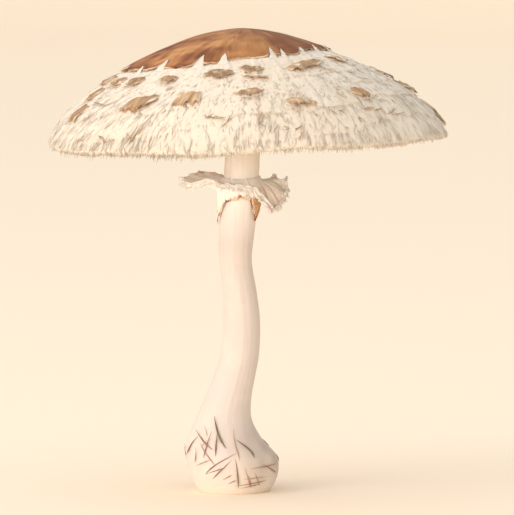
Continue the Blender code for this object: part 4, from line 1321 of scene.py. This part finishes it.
angle = np.linspace(0, math.tau, CROWN_SIDES, endpoint=False)
edge = crown_edge(angle) + 0.75 - notch_depth(angle)
edge = edge + 0.45 * streaks(angle, 0.0, 46, 81) + 0.4 * streaks(angle, 0.0, 150, 82)
way = np.linspace(0, 1, CROWN_ROWS)[:, None]
share = np.maximum(way**0.8 * edge / CAP_RADIUS, 0.002)
turn = angle[None, :] + 0 * way
fine = 0.10 * streaks(turn, way * 3, 90, 83) + 0.08 * streaks(turn, way * 5, 210, 84)
fine = fine * np.clip(way * 3, 0, 1)
low_waves = 0.18 * streaks(turn, way * 2, 16, 85)
frayed = np.clip((way - 0.9) / 0.1, 0, 1)
edge_curl = frayed**2 * (0.25 + 0.5 * streaks(turn, 0.0, 40, 86))
edge_curl = edge_curl + 0.6 * near_angle(angle, 192, 15) * np.clip((way - 0.5) / 0.4, 0, 1)
top = CROWN_LIFT + CROWN_THICKNESS * (1 - 0.55 * frayed) + fine + low_waves + edge_curl
under = CROWN_LIFT - 0.1 + edge_curl * 0.9
upper = cap_point(share, turn, lift=top)
lower = cap_point(share, turn, lift=np.minimum(under, top - 0.2))
crown_points = np.concatenate([upper, lower[::-1]])
line = 0.5 + 0.15 * streaks(turn, way * 2.5, 24, 87) + 0.2 * streaks(turn, way * 5, 80, 88)
line = line + 0.2 * streaks(turn, way * 9, 200, 89)
across, along = way * edge * np.cos(turn), way * edge * np.sin(turn)
line = line + 0.45 * cloud(across / 9, along / 9, 0.0, 99) + 0.3 * cloud(across / 3, along / 3, 5.0, 103)
line = line - 0.3 * np.clip((way - 0.94) / 0.04, 0, 1)
gold = near_angle(angle, 276, 20)[None, :] * np.clip(1.5 * way, 0, 1)
gold = gold * np.clip(0.75 + 0.7 * streaks(turn, way * 2, 60, 90), 0, 1)
# Painted shade on the right front, away from the light, and the real deeper brown of the middle.
umbo_and_side_shade = near_angle(angle, 318, 30)[None, :] * np.clip(0.8 + 0.6 * streaks(turn, way * 3, 44, 91), 0.2, 0.95)
umbo_and_side_shade = umbo_and_side_shade + 0.25 * np.clip(1 - way * 2.2, 0, 1)
cream = np.clip((way - 0.985) / 0.015, 0, 1) * np.clip(0.25 + 0.8 * streaks(turn, 0.0, 60, 92), 0, 0.8)
marks = {
    "streak": np.concatenate([np.clip(line, 0, 1), np.clip(line, 0, 1)[::-1]]),
    "gold": np.concatenate([gold * 0.8, gold[::-1] * 0]),
    "umbo_and_side_shade": np.concatenate([np.clip(umbo_and_side_shade, 0, 0.9), np.clip(umbo_and_side_shade, 0, 0.9)[::-1]]),
    "cream": np.concatenate([cream, cream[::-1] * 0 + 0.8]),
}
crown_shape = net(crown_points)
crown_piece = make_piece("crown_cuticle", crown_shape, crown_cuticle, marks, within=in_cap)
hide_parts("crown_skin")

# The crown's torn edge: fibres of the skin that fray out over the flesh, brown with some white among them.
EDGE_FIBRES = 800
draw = np.random.default_rng(96)
around = draw.uniform(0, math.tau, EDGE_FIBRES)
root_out = crown_edge(around) - notch_depth(around) + draw.uniform(-1.2, 0.0, EDGE_FIBRES)
length = draw.uniform(0.8, 2.0, EDGE_FIBRES)
half_width = draw.uniform(0.1, 0.24, EDGE_FIBRES)
tip_lift = draw.uniform(0.5, 1.0, EDGE_FIBRES)
shape, t = locks(root_out, around, length, half_width, tip_lift, draw, bed=0.7)
pale = draw.choice([0.0, 0.0, 0.0, 0.0, 0.1, 0.7], EDGE_FIBRES)
marks = {
    "streak": np.repeat(draw.uniform(0.1, 1.0, EDGE_FIBRES), LOCK_POINTS),
    "gold": np.zeros(len(t)),
    # Painted shade on the fibres of the right front.
    "umbo_and_side_shade": np.repeat(0.5 * near_angle(around, 316, 34), LOCK_POINTS),
    "cream": np.clip(np.repeat(pale, LOCK_POINTS) + 0.35 * t**3, 0, 1),
}
make_piece("crown_edge_fibres", shape, crown_cuticle, marks, within=in_cap)

# The torn points: white slips of flesh that fill the crown's notches, where the skin split over them.
# Each is a thin triangle, rooted in the wool below the crown, with its tip turned up at the end of the notch.
SLIP_COLUMNS = 9
SLIP_ROWS = 12
SLIP_THICKNESS = 0.45
SLIP_BELOW_EDGE = 2.4
SLIP_TIP_LIFT = 0.35  # of the tip above the skin
WITHOUT_A_SLIP = 192  # the notch at the left outline, where the brown skin reaches the edge
draw = np.random.default_rng(97)
across = np.linspace(-1, 1, SLIP_COLUMNS)[None, :]
t = np.linspace(0, 1, SLIP_ROWS)[:, None]
slips = []
for k, (at, depth, half) in enumerate(CROWN_NOTCHES):
    if at == WITHOUT_A_SLIP:
        continue
    middle = math.radians(at + draw.uniform(-0.15, 0.15) * half)
    base_out = crown_edge(middle) + SLIP_BELOW_EDGE
    tip_out = crown_edge(middle) + 0.75 - depth * draw.uniform(0.85, 1.0)
    out = base_out + (tip_out - base_out) * t + 0.25 * cloud(across * 3, t * 3, 5.0 * k, 98)
    half_turn = math.radians(half) * draw.uniform(1.1, 1.5) * (1 - t) ** 0.8 + 0.0015
    turn = middle + across * half_turn * (1 + 0.15 * cloud(0.0, t * 4, 7.0 * k, 100))
    lift = 0.3 + (CROWN_LIFT + CROWN_THICKNESS + SLIP_TIP_LIFT - 0.3) * t**0.7 - 0.3 * across**2 * (1 - t)
    lift = lift + 0.12 * cloud(across * 4, t * 5, 3.0 * k, 101)
    thin = SLIP_THICKNESS * (1 - 0.6 * t)
    upper = cap_point(out / CAP_RADIUS, turn, lift=lift)
    lower = cap_point(out / CAP_RADIUS, turn, lift=lift - thin)
    slips.append(np.concatenate([upper, lower[:, ::-1]], 1))
slip_shape = loft(np.array(slips))
stroke = 0.15 + 0.25 * cloud(slip_shape[0][:, 0] / 0.8, slip_shape[0][:, 1] / 0.8, 0.0, 102)
marks = {"tip": 0 * stroke, "stroke": np.clip(stroke, 0, 1), "brown": 0 * stroke}
make_piece("torn_white_points", slip_shape, woolly_flesh, marks, within=in_cap)

# The gills: thin soft blades of the same flesh, crowded and free of the stem, where the spores form.
# Long blades run from the collar to the rim, with shorter ones between them, on a thin layer of flesh.
LONG_GILLS = 150
GILL_STATIONS = 15
GILL_START = 0.145
GILL_END = 0.95
# Share of the radius, and how deep a long blade is there.
GILL_DEPTHS = (
    (GILL_START, 2.4),
    (0.20, 6.2),
    (0.34, 8.2),
    (0.50, 8.2),
    (0.67, 6.8),
    (0.83, 4.4),
    (0.945, 0.4),
)
GILL_GAP = 0.4
GILL_LAYER = 1.0

# Gill tissue: soft thin paper-like blades, white going cream, which let some light through.
gill_tissue, tree, place, edge_mark = new_material("pale_gill_tissue", "edge")
BLADE_GRAIN_MM = 1.2
scale = 1 / (BLADE_GRAIN_MM * MM)
grain = add_node(tree, "ShaderNodeTexNoise", {"Vector": place, "Scale": scale, "Detail": 4.0})
blade_colour = add_node(
    tree,
    "ShaderNodeValToRGB",
    {"Fac": grain.outputs["Fac"]},
    stops=((0.35, "#F5E8D3"), (0.65, "#FBF2E4")),
)
finish_material(
    gill_tissue,
    blade_colour.outputs["Color"],
    ((edge_mark, "#E9D6B8"),),
    grain.outputs["Fac"],
    0.3,
    0.15,
    {
        "Roughness": 0.8,
        "Subsurface Weight": 0.2,
        "Subsurface Radius": (1.0, 0.8, 0.6),
        "Subsurface Scale": 1.0 * MM,
    },
)

draw = np.random.default_rng(93)
# Place in a step between two long blades, where the blade starts, its depth as a share, and how many steps.
kinds = ((0.0, GILL_START, 1.0), (0.5, 0.36, 0.86), (0.25, 0.62, 0.62), (0.75, 0.66, 0.62))
place = np.concatenate([np.arange(LONG_GILLS) + at for at, _, _ in kinds])
is_long = np.arange(len(place)) < LONG_GILLS
start = np.repeat([first for _, first, _ in kinds], LONG_GILLS)
start = start + draw.uniform(-0.03, 0.05, len(place)) * ~is_long
depth_share = np.repeat([deep for _, _, deep in kinds], LONG_GILLS) * draw.uniform(0.92, 1.04, len(place))
t = np.linspace(0, 1, GILL_STATIONS)[None, :]
share = start[:, None] + (GILL_END - start[:, None]) * t
turn = (place[:, None] + draw.uniform(-0.08, 0.08, (len(place), 1))) * math.tau / LONG_GILLS
wave = 0.22 * cloud(share * 7, place[:, None] * 0.9, 0.0, 94) / (CAP_RADIUS * share)
deep = np.interp(share, [row[0] for row in GILL_DEPTHS], [row[1] for row in GILL_DEPTHS])
ramp_in = np.where(is_long[:, None], 1.0, np.clip((share - start[:, None]) / 0.12, 0.03, 1))
deep = deep * depth_share[:, None] * ramp_in * (1 + 0.04 * cloud(share * 9, place[:, None] * 1.7, 3.0, 95))
half = (0.15 + 0.06 * share) / (CAP_RADIUS * share)
foot = GILL_GAP + 0.5 * GILL_LAYER
edge_below = GILL_GAP + GILL_LAYER + deep
left_foot = under_point(share, turn - half + 0 * share, below=foot)
left_edge = under_point(share, turn - 0.6 * half + wave, below=edge_below)
right_edge = under_point(share, turn + 0.6 * half + wave, below=edge_below)
right_foot = under_point(share, turn + half + 0 * share, below=foot)
blades = np.stack([left_foot, left_edge, right_edge, right_foot], 2)
blade_points, blade_faces = loft(blades)
blade_marks = np.stack([0 * share, 0.5 + 0 * share, 0.5 + 0 * share, 0 * share], -1).reshape(-1)
layer_angle = np.linspace(0, math.tau, 180, endpoint=False)
shares = np.linspace(GILL_START, GILL_END, 22)
layer = [under_point(at + 0 * layer_angle, layer_angle, below=GILL_GAP) for at in shares]
layer += [under_point(at + 0 * layer_angle, layer_angle, below=GILL_GAP + GILL_LAYER) for at in shares[::-1]]
layer_points, layer_faces = net(np.array(layer), ends=False)
all_faces = blade_faces + [[corner + len(blade_points) for corner in face] for face in layer_faces]
gill_piece = make_piece(
    "gills",
    (np.concatenate([blade_points, layer_points]), all_faces),
    gill_tissue,
    {"edge": np.concatenate([blade_marks, np.zeros(len(layer_points))])},
    within=in_cap,
)
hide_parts("gills")

# The studio: a pale cream floor that curves up into a low wall all round, as plain as the paper of the plate.
# One soft light hangs to the upper left, a long low one reaches in under the cap, and the room does the rest.
FLOOR_RADIUS_M = 4.6
WALL_RADIUS_M = 0.6

paper, tree, _ = new_material("plain_cream_floor")
plain = {"Base Color": colour("#FEEACF"), "Roughness": 0.95, "Specular IOR Level": 0.1}
set_inputs(tree, tree.nodes["Principled BSDF"], plain)
turn = np.linspace(0, math.tau, 96, endpoint=False)
flat_radius = FLOOR_RADIUS_M - WALL_RADIUS_M
profile = [(flat_radius * share, 0.0) for share in (0.3, 0.7, 1.0)]
for bend in np.linspace(0, math.pi / 2, 14)[1:]:
    profile.append((flat_radius + WALL_RADIUS_M * math.sin(bend), WALL_RADIUS_M * (1 - math.cos(bend))))
floor_net = net(np.array([[(out * math.cos(a), out * math.sin(a), up) for a in turn] for out, up in profile]))
stage_mesh = bpy.data.meshes.new("studio_floor")
stage_mesh.from_pydata(floor_net[0].tolist(), [], floor_net[1][:-1])
stage_mesh.shade_smooth()
stage_mesh.materials.append(paper)
studio_floor = bpy.data.objects.new("studio_floor", stage_mesh)
bpy.context.scene.collection.objects.link(studio_floor)

world = bpy.data.worlds.new("soft_room")
bpy.context.scene.world = world
world.use_nodes = True
room = world.node_tree
direction = add_node(room, "ShaderNodeTexCoord")
sideways = add_node(room, "ShaderNodeSeparateXYZ", {"Vector": direction.outputs["Generated"]})
left_brighter = add_node(
    room,
    "ShaderNodeMapRange",
    {"Value": sideways.outputs["X"], "From Min": -1.0, "From Max": 1.0, "To Min": 1.24, "To Max": 0.74},
)
from_left = add_node(
    room,
    "ShaderNodeMapRange",
    {"Value": sideways.outputs["X"], "From Min": -1.0, "From Max": 1.0, "To Min": 0.0, "To Max": 1.0},
)
room_colour = add_node(
    room,
    "ShaderNodeMix",
    {0: from_left.outputs["Result"], 6: (1.0, 0.985, 0.97, 1.0), 7: (0.9, 0.975, 1.06, 1.0)},
    data_type="RGBA",
)
room.links.new(room_colour.outputs[2], room.nodes["Background"].inputs["Color"])
room.links.new(left_brighter.outputs["Result"], room.nodes["Background"].inputs["Strength"])

look_at = Vector(VIEW_CENTRE_MM) * MM
# Name, place, width and height in metres, and power in watts.
SOFT_LIGHTS = (
    ("soft_key", (-1.6, -1.1, 1.4), 1.1, 1.1, 10.0),
    ("low_fill", (-1.4, -2.8, 0.33), 2.4, 0.66, 54.0),
)
WARM_LIGHT = (1.0, 0.92, 0.9)
for name, place, width, height, watts in SOFT_LIGHTS:
    light = bpy.data.lights.new(name, "AREA")
    light.shape = "RECTANGLE"
    light.size = width
    light.size_y = height
    light.energy = watts
    light.color = WARM_LIGHT
    holder = bpy.data.objects.new(name, light)
    holder.location = place
    holder.rotation_euler = (Vector(place) - look_at).to_track_quat("Z", "Y").to_euler()
    bpy.context.scene.collection.objects.link(holder)

camera_data = bpy.data.cameras.new("camera")
camera_data.lens = CAMERA_LENS_MM
camera_data.sensor_width = CAMERA_SENSOR_MM
camera_data.clip_end = 50.0
camera = bpy.data.objects.new("camera", camera_data)
backward = Vector((0.0, -math.cos(CAMERA_ELEVATION), math.sin(CAMERA_ELEVATION)))
camera.location = look_at + CAMERA_DISTANCE_MM * MM * backward
camera.rotation_euler = backward.to_track_quat("Z", "Y").to_euler()
bpy.context.scene.collection.objects.link(camera)
bpy.context.scene.camera = camera
bpy.context.scene.view_settings.view_transform = "Standard"

bpy.context.view_layer.update()
